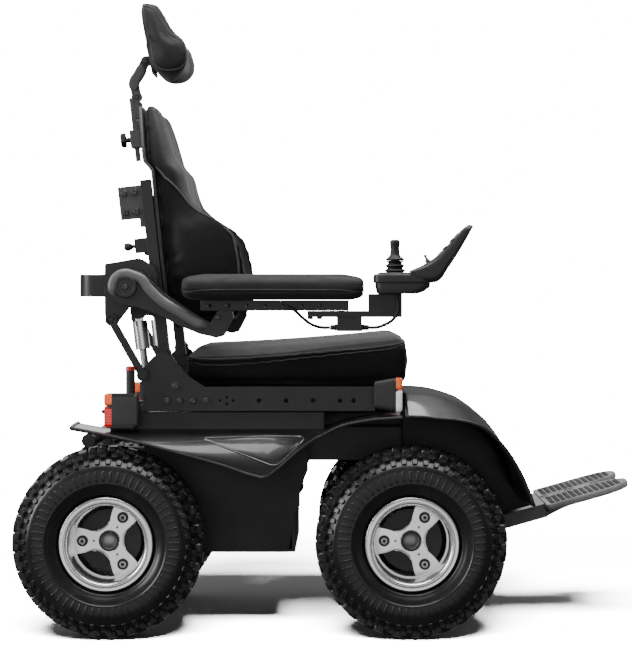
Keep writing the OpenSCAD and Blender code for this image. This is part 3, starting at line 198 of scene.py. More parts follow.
def circle(radius: float, sides: int) -> Array:
    """A round profile of that many points."""
    a = turns(sides)
    return radius * np.stack([np.cos(a), np.sin(a)], axis=-1)


def box_ring(half_w: Any, half_h: Any, power: float, count: int) -> Array:
    """Rounded-box rings: powers of a cosine and a sine, from the lower left and counter-clockwise."""
    a = np.pi + (np.arange(count) + 0.5) * 2 * np.pi / count
    w, h = np.atleast_1d(half_w)[:, None], np.atleast_1d(half_h)[:, None]
    e = 2.0 / power
    rows = np.broadcast_arrays(w * signed_power(np.cos(a), e), h * signed_power(np.sin(a), e))
    return np.stack(rows, axis=-1)


def bar(x: Any, y: float, z: Any, ring: Array) -> Array:
    """Rings set upright at places along X, each round its own middle."""
    along, up = np.asarray(x, float)[:, None], np.atleast_1d(z)[:, None]
    return spread(along, y + ring[..., 0], up + ring[..., 1])


def sweep(path: Array, profile: Array, up: Sequence[float] = (0, 0, 1), closed: bool = False) -> Array:
    """A profile carried along a path, square to it.

    Args:
        path: Points of the path.
        profile: Side and height of each profile point, for all the path or for each of its points.
        up: Direction that the profile's height keeps to.
        closed: Whether the path is a loop.
    Returns:
        A grid with one ring for each point of the path.
    """
    if closed:
        t = np.roll(path, -1, axis=0) - np.roll(path, 1, axis=0)
    else:
        t = np.gradient(path, axis=0)
    t /= np.linalg.norm(t, axis=1, keepdims=True)
    side = np.cross(t, np.asarray(up, float))
    side /= np.linalg.norm(side, axis=1, keepdims=True)
    rise = np.cross(side, t)
    prof = np.broadcast_to(profile, (len(path),) + profile.shape[-2:])
    return path[:, None] + prof[..., :1] * side[:, None] + prof[..., 1:] * rise[:, None]


def revolve(profile: Any, sides: int) -> Array:
    """Radii and heights turned round Z: one ring of points for each profile point."""
    p, a = np.asarray(profile, float), turns(sides)
    return spread(p[:, :1] * np.cos(a), p[:, :1] * np.sin(a), p[:, 1:])


def aim(points: Array, axis: Sequence[float], origin: Sequence[float]) -> Array:
    """Points turned so that their Z lies along an axis, then moved to an origin."""
    z = np.asarray(axis, float)
    z /= np.linalg.norm(z)
    x = np.cross((0.0, 1.0, 0.0) if abs(z[1]) < 0.9 else (0.0, 0.0, 1.0), z)
    x /= np.linalg.norm(x)
    return points @ np.stack([x, np.cross(z, x), z]) + np.asarray(origin, float)


@dataclass(frozen=True)
class LeaningFrame:
    """A frame with its origin in the part's frame, that leans back round Y by some degrees."""

    origin: Point
    degrees: float

    def turn(self, vectors: Array, way: int = 1) -> Array:
        """Directions of this frame in the part's frame, or with way -1 the other way round."""
        angle = np.radians(way * self.degrees)
        c, s = np.cos(angle), np.sin(angle)
        x, y, z = vectors[..., 0], vectors[..., 1], vectors[..., 2]
        return np.stack([x * c - z * s, y, x * s + z * c], axis=-1)

    def place(self, points: Array) -> Array:
        """Points of this frame in the part's frame."""
        return self.turn(points) + np.asarray(self.origin)

    def read(self, points: Array) -> Array:
        """Points of the part's frame in this one."""
        return self.turn(points - np.asarray(self.origin), -1)


BACK_LEAN = LeaningFrame((-305.0, 0.0, 525.0), 6.3)
FOOT_SLOPE = LeaningFrame((417.13, 0.0, 233.0), 15.7)


def mirrored(points: Array, side: Side) -> Array:
    """Points drawn for the right, on the asked side."""
    return points * np.array([1.0, -side.value, 1.0])


def screw_grid(head_r: float, head_h: float, washer_r: float = 0.0) -> Array:
    """A button-head screw with a six-sided socket and, where asked, a washer, with its head along Z.

    Each ring is a circle, but the socket's rings follow a hexagon: its flat over the cosine of the
    angle from the middle of that flat. The head's sizes are shares of its radius and height.
    """
    sides, washer_h = 24, 1.5
    socket_r, socket_floor = 0.45, 0.3
    shoulder_h, crown_r, crown_h = 0.45, 0.82, 0.95
    a = turns(sides)
    flat = socket_r * head_r / np.cos(np.mod(a, np.pi / 3) - np.pi / 6)
    low = washer_h if washer_r else 0.0
    levels = [(washer_r, 0.0), (washer_r, washer_h)] if washer_r else []
    levels += [(head_r, low), (head_r, low + shoulder_h * head_h), (crown_r * head_r, low + crown_h * head_h)]
    rings = [np.full(sides, r) for r, _ in levels] + [flat, flat]
    heights = [h for _, h in levels] + [low + head_h, low + socket_floor * head_h]
    r = np.stack(rings)
    return spread(r * np.cos(a), r * np.sin(a), np.asarray(heights)[:, None])


# Meshes


def vectors(items: Any, key: str) -> Array:
    """One vector of each item of a mesh."""
    flat = np.empty(len(items) * 3, np.float32)
    items.foreach_get(key, flat)
    return flat.reshape(-1, 3).astype(float)


def coords(mesh: bpy.types.Mesh) -> Array:
    """Vertex places of a mesh in millimetres."""
    return vectors(mesh.vertices, "co") / MM


def set_coords(mesh: bpy.types.Mesh, points: Array) -> None:
    """Gives a mesh new vertex places, in millimetres."""
    mesh.vertices.foreach_set("co", (points * MM).astype(np.float32).ravel())
    mesh.update()


def normals(mesh: bpy.types.Mesh) -> Array:
    """Vertex normals of a mesh."""
    return vectors(mesh.vertex_normals, "vector")


def modified(obj: Object) -> bpy.types.Mesh:
    """A new mesh of an object as its modifiers leave it."""
    graph = bpy.context.evaluated_depsgraph_get()
    return bpy.data.meshes.new_from_object(obj.evaluated_get(graph))


def settle(obj: Object) -> None:
    """Turns an object's modifiers into its mesh."""
    mesh = modified(obj)
    obj.modifiers.clear()
    obj.data = mesh


def node_box(node: str) -> tuple[Array, Array]:
    """A node's lowest and highest corners at rest, in millimetres."""
    low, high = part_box(node)
    return np.asarray(low) / MM, np.asarray(high) / MM


def hug(obj: Object, path: Array, proud: float) -> Array:
    """A path laid on the nearest surface of a piece, proud of it by a distance."""
    hits = [obj.closest_point_on_mesh(p * MM)[1:3] for p in path]
    return np.array([np.asarray(place) / MM + proud * np.asarray(normal) for place, normal in hits])


class Shape:
    """Grids of points gathered into one mesh."""

    def __init__(self) -> None:
        """Starts with no points."""
        self.points: list[Array] = []
        self.faces: list[list[int]] = []
        self.count = 0

    def grid(
        self, points: Array, ring: bool = True, loop: bool = False, start: bool = False, end: bool = False
    ) -> "Shape":
        """Adds the quads of one grid, or of copies of it.

        Args:
            points: Rows of points, or such rows for each copy.
            ring: Whether the last column joins the first.
            loop: Whether the last row joins the first.
            start: Whether a fan closes the first row.
            end: Whether a fan closes the last row.
        Returns:
            The shape itself.
        """
        rows, cols = points.shape[-3:-1]
        copies = points.reshape(-1, rows, cols, 3)
        size = rows * cols
        index = np.arange(size).reshape(rows, cols)
        if ring:
            index = np.concatenate([index, index[:, :1]], axis=1)
        if loop:
            index = np.concatenate([index, index[:1]], axis=0)
        quads = np.stack([index[:-1, :-1], index[:-1, 1:], index[1:, 1:], index[1:, :-1]], axis=-1)
        first = self.count + size * np.arange(len(copies))[:, None, None]
        self.faces += (quads.reshape(1, -1, 4) + first).reshape(-1, 4).tolist()
        self.points.append(copies.reshape(-1, 3))
        self.count += len(copies) * size
        for asked, row in ((start, 0), (end, rows - 1)):
            if asked:
                rim = index[row]
                hub = self.count + np.arange(len(copies))[:, None, None]
                edges = np.stack([rim[:-1], rim[1:]], axis=-1)[None] + first
                fans = np.concatenate([edges, np.broadcast_to(hub, edges.shape[:2] + (1,))], axis=-1)
                self.faces += fans.reshape(-1, 3).tolist()
                self.points.append(copies[:, row].mean(axis=1))
                self.count += len(copies)
        return self

    def solid(self, points: Array) -> "Shape":
        """Adds a grid of rings, closed at both ends."""
        return self.grid(points, start=True, end=True)

    def copies(self, grid: Array, places: Any, axis: Sequence[float], end: bool = True) -> "Shape":
        """Adds copies of a turned grid, each moved to its place."""
        turned = aim(grid, axis, (0, 0, 0))
        return self.grid(turned + np.asarray(places, float).reshape(-1, 1, 1, 3), end=end)

    def build(self, name: str, sharp: float) -> Object:
        """Makes the mesh and its object, with doubles merged and faces outward.

        Args:
            name: Name of the piece.
            sharp: Angle in degrees past which an edge stays sharp.
        Returns:
            The new object.
        """
        mesh = bpy.data.meshes.new(name)
        mesh.from_pydata((np.concatenate(self.points) * MM).tolist(), [], self.faces)
        work = bmesh.new()
        work.from_mesh(mesh)
        bmesh.ops.remove_doubles(work, verts=work.verts, dist=1e-6)
        bmesh.ops.recalc_face_normals(work, faces=work.faces)
        work.to_mesh(mesh)
        work.free()
        mesh.shade_smooth()
        mesh.set_sharp_from_angle(angle=np.radians(sharp))
        obj = bpy.data.objects.new(name, mesh)
        bpy.context.scene.collection.objects.link(obj)
        return obj


# Finishes


class Value:
    """A shader socket that takes part in Python sums."""

    def __init__(self, nodes: "Nodes", socket: Any) -> None:
        """Keeps the socket and the nodes that it belongs to."""
        self.nodes, self.socket = nodes, socket

    def math(self, operation: str, *values: Any) -> "Value":
        """A Math node with these values in order."""
        node = self.nodes.node("ShaderNodeMath", {"operation": operation}, dict(enumerate(values)))
        return Value(self.nodes, node.outputs[0])

    def __add__(self, other: Any) -> "Value":
        """Sum."""
        return self.math("ADD", self, other)

    __radd__ = __add__

    def __mul__(self, other: Any) -> "Value":
        """Product."""
        return self.math("MULTIPLY", self, other)

    __rmul__ = __mul__

    def __sub__(self, other: Any) -> "Value":
        """Difference."""
        return self.math("SUBTRACT", self, other)

    def __rsub__(self, other: Any) -> "Value":
        """Difference from a number."""
        return self.math("SUBTRACT", other, self)

    def ease(self, low: float, high: float) -> "Value":
        """Smooth rise from 0 at low to 1 at high."""
        node = self.nodes.node(
            "ShaderNodeMapRange",
            {"interpolation_type": "SMOOTHSTEP"},
            {"Value": self, "From Min": low, "From Max": high},
        )
        return Value(self.nodes, node.outputs[0])


class Nodes:
    """The nodes of one material, round a Principled shader."""

    def __init__(self, material: bpy.types.Material) -> None:
        """Empties the material and gives it its shader."""
        material.use_nodes = True
        self.tree = material.node_tree
        self.tree.nodes.clear()
        self.shader = self.node("ShaderNodeBsdfPrincipled")
        self.node("ShaderNodeOutputMaterial", inputs={"Surface": self.shader.outputs[0]})

    def node(self, kind: str, settings: Optional[dict] = None, inputs: Optional[dict] = None) -> Any:
        """Adds a node.

        Args:
            kind: Type of the node.
            settings: Its settings, which are set first.
            inputs: Values or links of its sockets, by name or number.
        Returns:
            The node.
        """
        node = self.tree.nodes.new(kind)
        for key, value in (settings or {}).items():
            setattr(node, key, value)
        for key, value in (inputs or {}).items():
            self.feed(node.inputs[key], value)
        return node

    def feed(self, socket: Any, value: Any) -> None:
        """Links a value to a socket, or sets it there."""
        if isinstance(value, Value):
            value = value.socket
        if isinstance(value, bpy.types.NodeSocket):
            self.tree.links.new(value, socket)
        else:
            socket.default_value = value

    def dress(self, **values: Any) -> None:
        """Feeds the shader; an underscore in a name stands for a space."""
        for name, value in values.items():
            self.feed(self.shader.inputs[name.replace("_", " ")], value)

    def place(self, stretch: Sequence[float]) -> Any:
        """Object coordinates, stretched along the axes."""
        place = self.node("ShaderNodeTexCoord").outputs["Object"]
        return self.node("ShaderNodeMapping", inputs={"Vector": place, "Scale": tuple(stretch)}).outputs[0]

    def noise(self, scale: float, detail: float = 3.0, stretch: Sequence[float] = (1, 1, 1)) -> Value:
        """Cloudy noise round one half."""
        inputs = {"Vector": self.place(stretch), "Scale": scale, "Detail": detail}
        return Value(self, self.node("ShaderNodeTexNoise", inputs=inputs).outputs[0])

    def cells(self, scale: float, stretch: Sequence[float] = (1, 1, 1)) -> Value:
        """Distance from the middle of the nearest cell."""
        inputs = {"Vector": self.place(stretch), "Scale": scale}
        return Value(self, self.node("ShaderNodeTexVoronoi", inputs=inputs).outputs["Distance"])

    def bands(self, scale: float, axis: str) -> Value:
        """Even ridges along an axis."""
        settings = {"wave_type": "BANDS", "bands_direction": axis}
        inputs = {"Vector": self.place((1, 1, 1)), "Scale": scale}
        return Value(self, self.node("ShaderNodeTexWave", settings, inputs).outputs["Fac"])

    def attribute(self, name: str) -> Value:
        """A value that the piece's own mesh carries."""
        return Value(self, self.node("ShaderNodeAttribute", {"attribute_name": name}).outputs["Fac"])

    def mix(self, factor: Value, a: Any, b: Any) -> Any:
        """One colour turning into another."""
        return self.node("ShaderNodeMix", {"data_type": "RGBA"}, {0: factor, 6: a, 7: b}).outputs[2]

    def edges(self, radius: float) -> tuple[Value, Any]:
        """A mask of the sharp edges, and a normal that rounds them."""
        soft = self.node("ShaderNodeBevel", {"samples": 4}, {"Radius": radius * MM}).outputs[0]
        flat = self.node("ShaderNodeNewGeometry").outputs["Normal"]
        node = self.node("ShaderNodeVectorMath", {"operation": "DOT_PRODUCT"}, {0: soft, 1: flat})
        return (1.0 - Value(self, node.outputs["Value"])).ease(0.02, 0.25), soft

    def bump(self, height: Value, depth: float, normal: Any = None) -> Any:
        """A normal roughened by a height of that many millimetres."""
        inputs = {"Height": height, "Distance": depth * MM, "Strength": 1.0}
        if normal is not None:
            inputs["Normal"] = normal
        return self.node("ShaderNodeBump", inputs=inputs).outputs[0]


@dataclass(frozen=True)
class Finish:
    """A surface finish, made once as a material.

    Args:
        name: Name of the material.
        slot: Name of a slot for pieces with this finish; not used.
        colour: Main colour.
        second: Colour of its worn, dusty or lit places.
        roughness: Mean roughness.
    """

    name: str
    slot: str
    colour: Colour
    second: Colour
    roughness: float

    def material(self) -> bpy.types.Material:
        """The material, made at the first call."""
        found = bpy.data.materials.get(self.name)
        if found is None:
            found = bpy.data.materials.new(self.name)
            self.wire(Nodes(found))
        return found

    def wire(self, nodes: Nodes) -> None:
        """Builds the shader."""
        raise NotImplementedError


@dataclass(frozen=True)
class Coated(Finish):
    """Paint, powder coat or moulded plastic: a fine grain, cloudy gloss and paler edges, partly wear and partly
    a painted highlight.
    """

    grain: float = 1300.0
    depth: float = 0.03
    edge: float = 1.2
    edge_wear_and_highlight: float = 0.5
    coat: float = 0.0

    def wire(self, nodes: Nodes) -> None:
        """Grain to bump, clouds to roughness, edges to colour as wear and a painted highlight."""
        worn, soft = nodes.edges(self.edge)
        grain = nodes.noise(self.grain, 2.0)
        cloud = nodes.noise(14.0, 4.0)
        scuff = nodes.noise(160.0, 3.0).ease(0.45, 0.75)
        # Paler edges: partly wear, partly a painted highlight along every edge.
        tone = worn * self.edge_wear_and_highlight * (0.4 + scuff) + (cloud - 0.5) * 0.35
        nodes.dress(
            Base_Color=nodes.mix(tone.ease(0.0, 1.0), self.colour, self.second),
            Roughness=self.roughness + (cloud - 0.5) * 0.16 + (grain - 0.5) * 0.08,
            Normal=nodes.bump(grain, self.depth, soft),
            Coat_Weight=self.coat,
            Coat_Roughness=0.04,
        )


@dataclass(frozen=True)
class Metal(Finish):
    """Bare metal: turning or drawing marks along one axis and a few dull smears."""

    stretch: Point = (1.0, 1.0, 1.0)
    marks: float = 700.0

    def wire(self, nodes: Nodes) -> None:
        """Marks to bump and roughness, smears to colour."""
        worn, soft = nodes.edges(1.0)
        mark = nodes.noise(self.marks, 2.0, self.stretch)
        smear = nodes.noise(22.0, 4.0)
        nodes.dress(
            Base_Color=nodes.mix((smear - worn * 0.4).ease(0.35, 0.8), self.colour, self.second),
            Roughness=self.roughness + (smear - 0.5) * 0.1 + (mark - 0.5) * 0.1,
            Normal=nodes.bump(mark, 0.005, soft),
            Metallic=1.0,
        )


@dataclass(frozen=True)
class TyreRubber(Finish):
    """Tyre rubber: matt and cloudy, with dust rubbed along the block edges and fine mould grain."""

    def wire(self, nodes: Nodes) -> None:
        """Dust to colour and roughness, mould grain to bump."""
        worn, soft = nodes.edges(1.0)
        grain = nodes.noise(900.0, 3.0)
        dust = nodes.noise(26.0, 5.0)
        tone = worn * 0.55 + dust.ease(0.42, 0.8) * 0.5
        nodes.dress(
            Base_Color=nodes.mix(tone.ease(0.0, 1.1), self.colour, self.second),
            Roughness=self.roughness + (dust - 0.5) * 0.22,
            Normal=nodes.bump(grain, 0.06, soft),
            Sheen_Weight=0.04,
            Sheen_Roughness=0.6,
            Specular_IOR_Level=0.45,
        )


@dataclass(frozen=True)
class Cover(Finish):
    """Cushion cover: spacer mesh where the piece's panel attribute is 1, plain woven cloth elsewhere; the mesh
    panels are paler, partly their own tone and partly a painted sheen.
    """

    def wire(self, nodes: Nodes) -> None:
        """Open cells or a fine twill by the panel, with rubbed patches, and the mesh panel paler, partly a
        painted sheen.
        """
        panel = nodes.attribute("panel")
        cell = nodes.cells(330.0).ease(0.1, 0.5)
        twill = nodes.bands(190.0, "DIAGONAL") * 0.5 + nodes.noise(1200.0, 2.0) * 0.5
        rubbed = nodes.noise(11.0, 4.0)
        height = cell * panel + twill * (1.0 - panel) * 0.45
        # The mesh panels lean to the paler colour: partly the mesh's own tone, partly a painted sheen.
        tone = panel * (0.45 + cell * 0.45) + (rubbed - 0.5) * 0.5 + twill * 0.12
        nodes.dress(
            Base_Color=nodes.mix(tone.ease(0.0, 1.0), self.colour, self.second),
            Roughness=self.roughness + (rubbed - 0.5) * 0.15 + (1.0 - panel) * -0.08,
            Normal=nodes.bump(height, 0.35),
            Sheen_Weight=0.1,
            Sheen_Roughness=0.45,
            Specular_IOR_Level=0.2,
        )


@dataclass(frozen=True)
class Vinyl(Finish):
    """Soft upholstery vinyl: pebbled skin, with creases and a rubbed sheen."""

    def wire(self, nodes: Nodes) -> None:
        """Pebbles to bump, rubbing to colour and roughness."""
        pebble = nodes.cells(620.0).ease(0.0, 0.6)
        crease = nodes.noise(75.0, 6.0, (1.0, 2.4, 1.0))
        rubbed = nodes.noise(13.0, 3.0)
        tone = (rubbed - 0.3) * 0.8 + pebble * 0.2
        nodes.dress(
            Base_Color=nodes.mix(tone.ease(0.0, 1.0), self.colour, self.second),
            Roughness=self.roughness + (rubbed - 0.5) * 0.2 + pebble * 0.08,
            Normal=nodes.bump(pebble + crease * 0.8, 0.14),
            Sheen_Weight=0.06,
            Specular_IOR_Level=0.3,
        )


@dataclass(frozen=True)
class Lens(Finish):
    """Lamp lens: moulded prisms under a glossy skin in two tints, with a faint painted glow of the same tint
    that makes it look bright.
    """

    def wire(self, nodes: Nodes) -> None:
        """Ridges to bump and colour, and the colour to a faint painted glow."""
        ridge = nodes.bands(60.0, "Z") * 0.5 + nodes.bands(60.0, "Y") * 0.5
        haze = nodes.noise(40.0, 3.0)
        tint = nodes.mix(ridge.ease(0.2, 0.9), self.colour, self.second)
        nodes.dress(
            Base_Color=tint,
            # A faint painted glow: the lens glows in its own tint so that it looks bright.
            Emission_Color=tint,
            Emission_Strength=0.3,
            Roughness=self.roughness + (haze - 0.5) * 0.1,
            Normal=nodes.bump(ridge, 0.3),
            Coat_Weight=0.8,
            Coat_Roughness=0.03,
        )


@dataclass(frozen=True)
class Speckled(Finish):
    """Moulded grey rubber: speckle, soft stains and a matt grain."""

    depth: float = 0.15

    def wire(self, nodes: Nodes) -> None:
        """Speckle and stains to colour, grain to bump."""
        worn, soft = nodes.edges(0.8)
        speckle = nodes.noise(520.0, 2.0)
        stain = nodes.noise(17.0, 4.0)
        tone = stain.ease(0.3, 0.75) * 0.7 + (speckle - 0.5) * 0.8 - worn * 0.4
        nodes.dress(
            Base_Color=nodes.mix(tone.ease(0.0, 1.0), self.colour, self.second),
            Roughness=self.roughness + (stain - 0.5) * 0.15,
            Normal=nodes.bump(speckle, self.depth, soft),
        )


@dataclass(frozen=True)
class PaleFloor(Finish):
    """A pale studio floor: faint stains, lit by the lamps near the chair and glowing further out."""

    near: float = 1.1
    far: float = 3.2
    glow: float = 16.0

    def wire(self, nodes: Nodes) -> None:
        """Stains to colour, distance from the middle to the glow."""
        stain = nodes.noise(3.0, 4.0)
        place = nodes.node("ShaderNodeTexCoord").outputs["Object"]
        away = nodes.node("ShaderNodeVectorMath", {"operation": "LENGTH"}, {0: place})
        lit = Value(nodes, away.outputs["Value"]).ease(self.near, self.far)
        nodes.dress(
            Base_Color=nodes.mix(stain, self.colour, self.second),
            Roughness=self.roughness + (stain - 0.5) * 0.1,
            Emission_Color=nodes.mix(lit, grey(0.0), grey(1.0)),
            Emission_Strength=self.glow,
        )


def grey(level: float, warm: float = 0.0) -> Colour:
    """A grey, a little warm or cool."""
    return (level * (1 + warm), level, level * (1 - warm), 1.0)


POWDER = Coated("satin_powder_coat", "frame_black", grey(0.012), grey(0.06), 0.42)
LEVER = Coated("cast_lever_grey", "frame_black", grey(0.055), grey(0.15), 0.4, grain=900.0, depth=0.05)
# Lighter grey for the lever's top band: a painted highlight where light falls on it.
LEVER_HIGHLIGHT_BAND = Coated("painted_highlight_on_lever", "frame_black", grey(0.12), grey(0.24), 0.42, grain=900.0, depth=0.05)
GLOSS = Coated(
    "gloss_black_paint", "shroud_gloss", grey(0.004), grey(0.02), 0.34, depth=0.004, edge_wear_and_highlight=0.25, coat=0.4
)
MATTE = Coated("matt_black_panel", "panel_matte", grey(0.012), grey(0.045), 0.5, grain=1800.0, depth=0.05)
LAMP = Coated("lamp_shell_grey", "panel_matte", grey(0.03), grey(0.08), 0.5, grain=1500.0, depth=0.05)
PLASTIC = Coated("moulded_pod_plastic", "pod_plastic", grey(0.014), grey(0.05), 0.45, grain=1500.0, depth=0.06)
KEYS = Coated("soft_key_grey", "pod_plastic", grey(0.05), grey(0.1), 0.55, grain=1500.0, depth=0.05)
GLASS = Coated(
    "dark_screen_glass", "pod_plastic", grey(0.003), grey(0.012), 0.08, depth=0.002, edge_wear_and_highlight=0.1, coat=1.0
)
BATTERY = Coated("battery_case_grey", "battery_case", grey(0.06), grey(0.12), 0.5)
TYRE = TyreRubber("tyre_rubber", "tyre", grey(0.004), grey(0.03, 0.04), 0.33)
ALLOY = Metal("turned_alloy", "alloy", grey(0.92), grey(0.82), 0.26, stretch=(1.0, 9.0, 1.0))
BOLT = Metal("dark_bolt", "steel", grey(0.1), grey(0.05), 0.4)
STEEL = Metal("dark_steel", "steel", grey(0.28), grey(0.16), 0.34)
ZINC = Metal("zinc_plate", "steel", grey(0.55), grey(0.38), 0.36)
# Its paler colour, used on the mesh panels, is partly a painted sheen.
FABRIC = Cover("cushion_cover", "cover_fabric", grey(0.003), grey(0.045), 0.72)
VINYL = Vinyl("pad_vinyl", "cover_vinyl", grey(0.008), grey(0.026), 0.56)
CORD = Vinyl("sewn_cord", "cover_vinyl", grey(0.03), grey(0.08), 0.5)
RUBBER = Coated("soft_black_rubber", "soft_rubber", grey(0.008), grey(0.03), 0.6, grain=700.0, depth=0.05)
RED_LENS = Lens("red_lens", "lens_red", (0.5, 0.002, 0.002, 1), (0.8, 0.01, 0.006, 1), 0.12)
AMBER_LENS = Lens("amber_lens", "lens_red", (0.8, 0.07, 0.0, 1), (1.0, 0.14, 0.0, 1), 0.12)
CLEAR_LENS = Lens("clear_lens", "lens_clear", (0.55, 0.56, 0.58, 1), (0.9, 0.91, 0.93, 1), 0.1)
RED_CAP = Coated("red_cap", "lens_red", (0.35, 0.01, 0.01, 1), (0.5, 0.08, 0.06, 1), 0.35)
TREAD = Speckled("grey_tread_mat", "plate_grey", grey(0.17), grey(0.3), 0.7)
DASH = Speckled("dark_tread_dash", "plate_grey", grey(0.045), grey(0.1), 0.7)
FLOOR = PaleFloor("pale_floor", "", grey(0.88), grey(0.92), 0.75)


def piece(shape: Shape, name: str, finish: Finish, body: str, sharp: float = 35.0) -> Object:
    """Makes a piece, dresses it and lets it ride on a body.

    Args:
        shape: Its surface.
        name: Its name.
        finish: Its finish.
        body: The body that carries it.
        sharp: Angle in degrees past which an edge stays sharp.
    Returns:
        The piece.
    """
    obj = shape.build(name, sharp)
    obj.data.materials.append(finish.material())
    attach(obj, body)
    LOG.info("%s: %d faces on %s", name, len(obj.data.polygons), body)
    return obj


def closed_piece(grid: Array, name: str, finish: Finish, body: str) -> Object:
    """A piece of one grid of rings, closed at both ends."""
    return piece(Shape().solid(grid), name, finish, body)


def thicken(obj: Object, wall: float) -> None:
    """Gives a sheet a wall on its inner side."""
    modifier = obj.modifiers.new("wall", "SOLIDIFY")
    modifier.thickness = wall * MM
    modifier.offset = -1.0


def piping(name: str, path: Array, radius: float, finish: Finish, body: str, closed: bool) -> Object:
    """A round cord sewn along a seam: a circle carried along the path."""
    grid = sweep(path, circle(radius, 8), (0.03, 0.05, 1.0), closed)
    ends = not closed
    return piece(Shape().grid(grid, loop=closed, start=ends, end=ends), name, finish, body)


@dataclass(frozen=True)
class Swell:
    """Fills a pad by a short cloth run.

    Args:
        voxel: Size of its remesh.
        limit: Most that a point may move.
        start: How much smaller the pad starts.
        fair: How much each smoothing step after the remesh evens out.
    """

    voxel: float = 6.0
    pressure: float = 4.0
    limit: float = 7.0
    start: float = 3.5
    frames: int = 20
    fair: float = 0.5
    fair_steps: int = 8

    def apply(self, obj: Object) -> None:
        """Remeshes the pad, draws it in, blows it up within the limit and subdivides it once."""
        remesh = obj.modifiers.new("even", "REMESH")
        remesh.mode = "VOXEL"
        remesh.voxel_size = self.voxel * MM
        smooth = obj.modifiers.new("fair", "SMOOTH")
        smooth.factor = self.fair
        smooth.iterations = self.fair_steps
        settle(obj)
        begin = coords(obj.data) - self.start * normals(obj.data)
        set_coords(obj.data, begin)
        cloth = obj.modifiers.new("fill", "CLOTH")
        cloth.settings.use_pressure = True
        cloth.settings.uniform_pressure_force = self.pressure
        cloth.settings.effector_weights.gravity = 0.0
        cloth.point_cache.frame_end = self.frames
        for step in range(1, self.frames + 1):
            bpy.context.scene.frame_set(step)
        swollen = modified(obj)
        move = coords(swollen) - begin
        size = np.linalg.norm(move, axis=1, keepdims=True)
        obj.modifiers.clear()
        set_coords(obj.data, begin + move * np.minimum(1.0, self.limit / np.maximum(size, 1e-9)))
        bpy.data.meshes.remove(swollen)
        bpy.context.scene.frame_set(1)
        fine = obj.modifiers.new("fine", "SUBSURF")
        fine.levels = fine.render_levels = 1
        settle(obj)
        obj.data.shade_smooth()


def seam_press(normal: Array, away: Array, depth: float, width: float, steep: float) -> Array:
    """How a pad is pressed in along a seam: a bell of that width across it, on the upright sides alone."""
    upright = np.clip(1.0 - np.abs(normal[:, 2]) * steep, 0.0, 1.0)
    return normal * (depth * upright * np.exp(-((away / width) ** 2)))[:, None]


def mark_panel(obj: Object, share: Array) -> None:
    """Writes the panel attribute of a cover, one share for each vertex."""
    attribute = obj.data.attributes.new("panel", "FLOAT", "POINT")
    attribute.data.foreach_set("value", share.astype(np.float32))


# Stage


@dataclass(frozen=True)
class SoftLight:
    """A broad rectangular light: place, width and height in metres, power in watts."""

    name: str
    place: Point
    size: Pair
    power: float


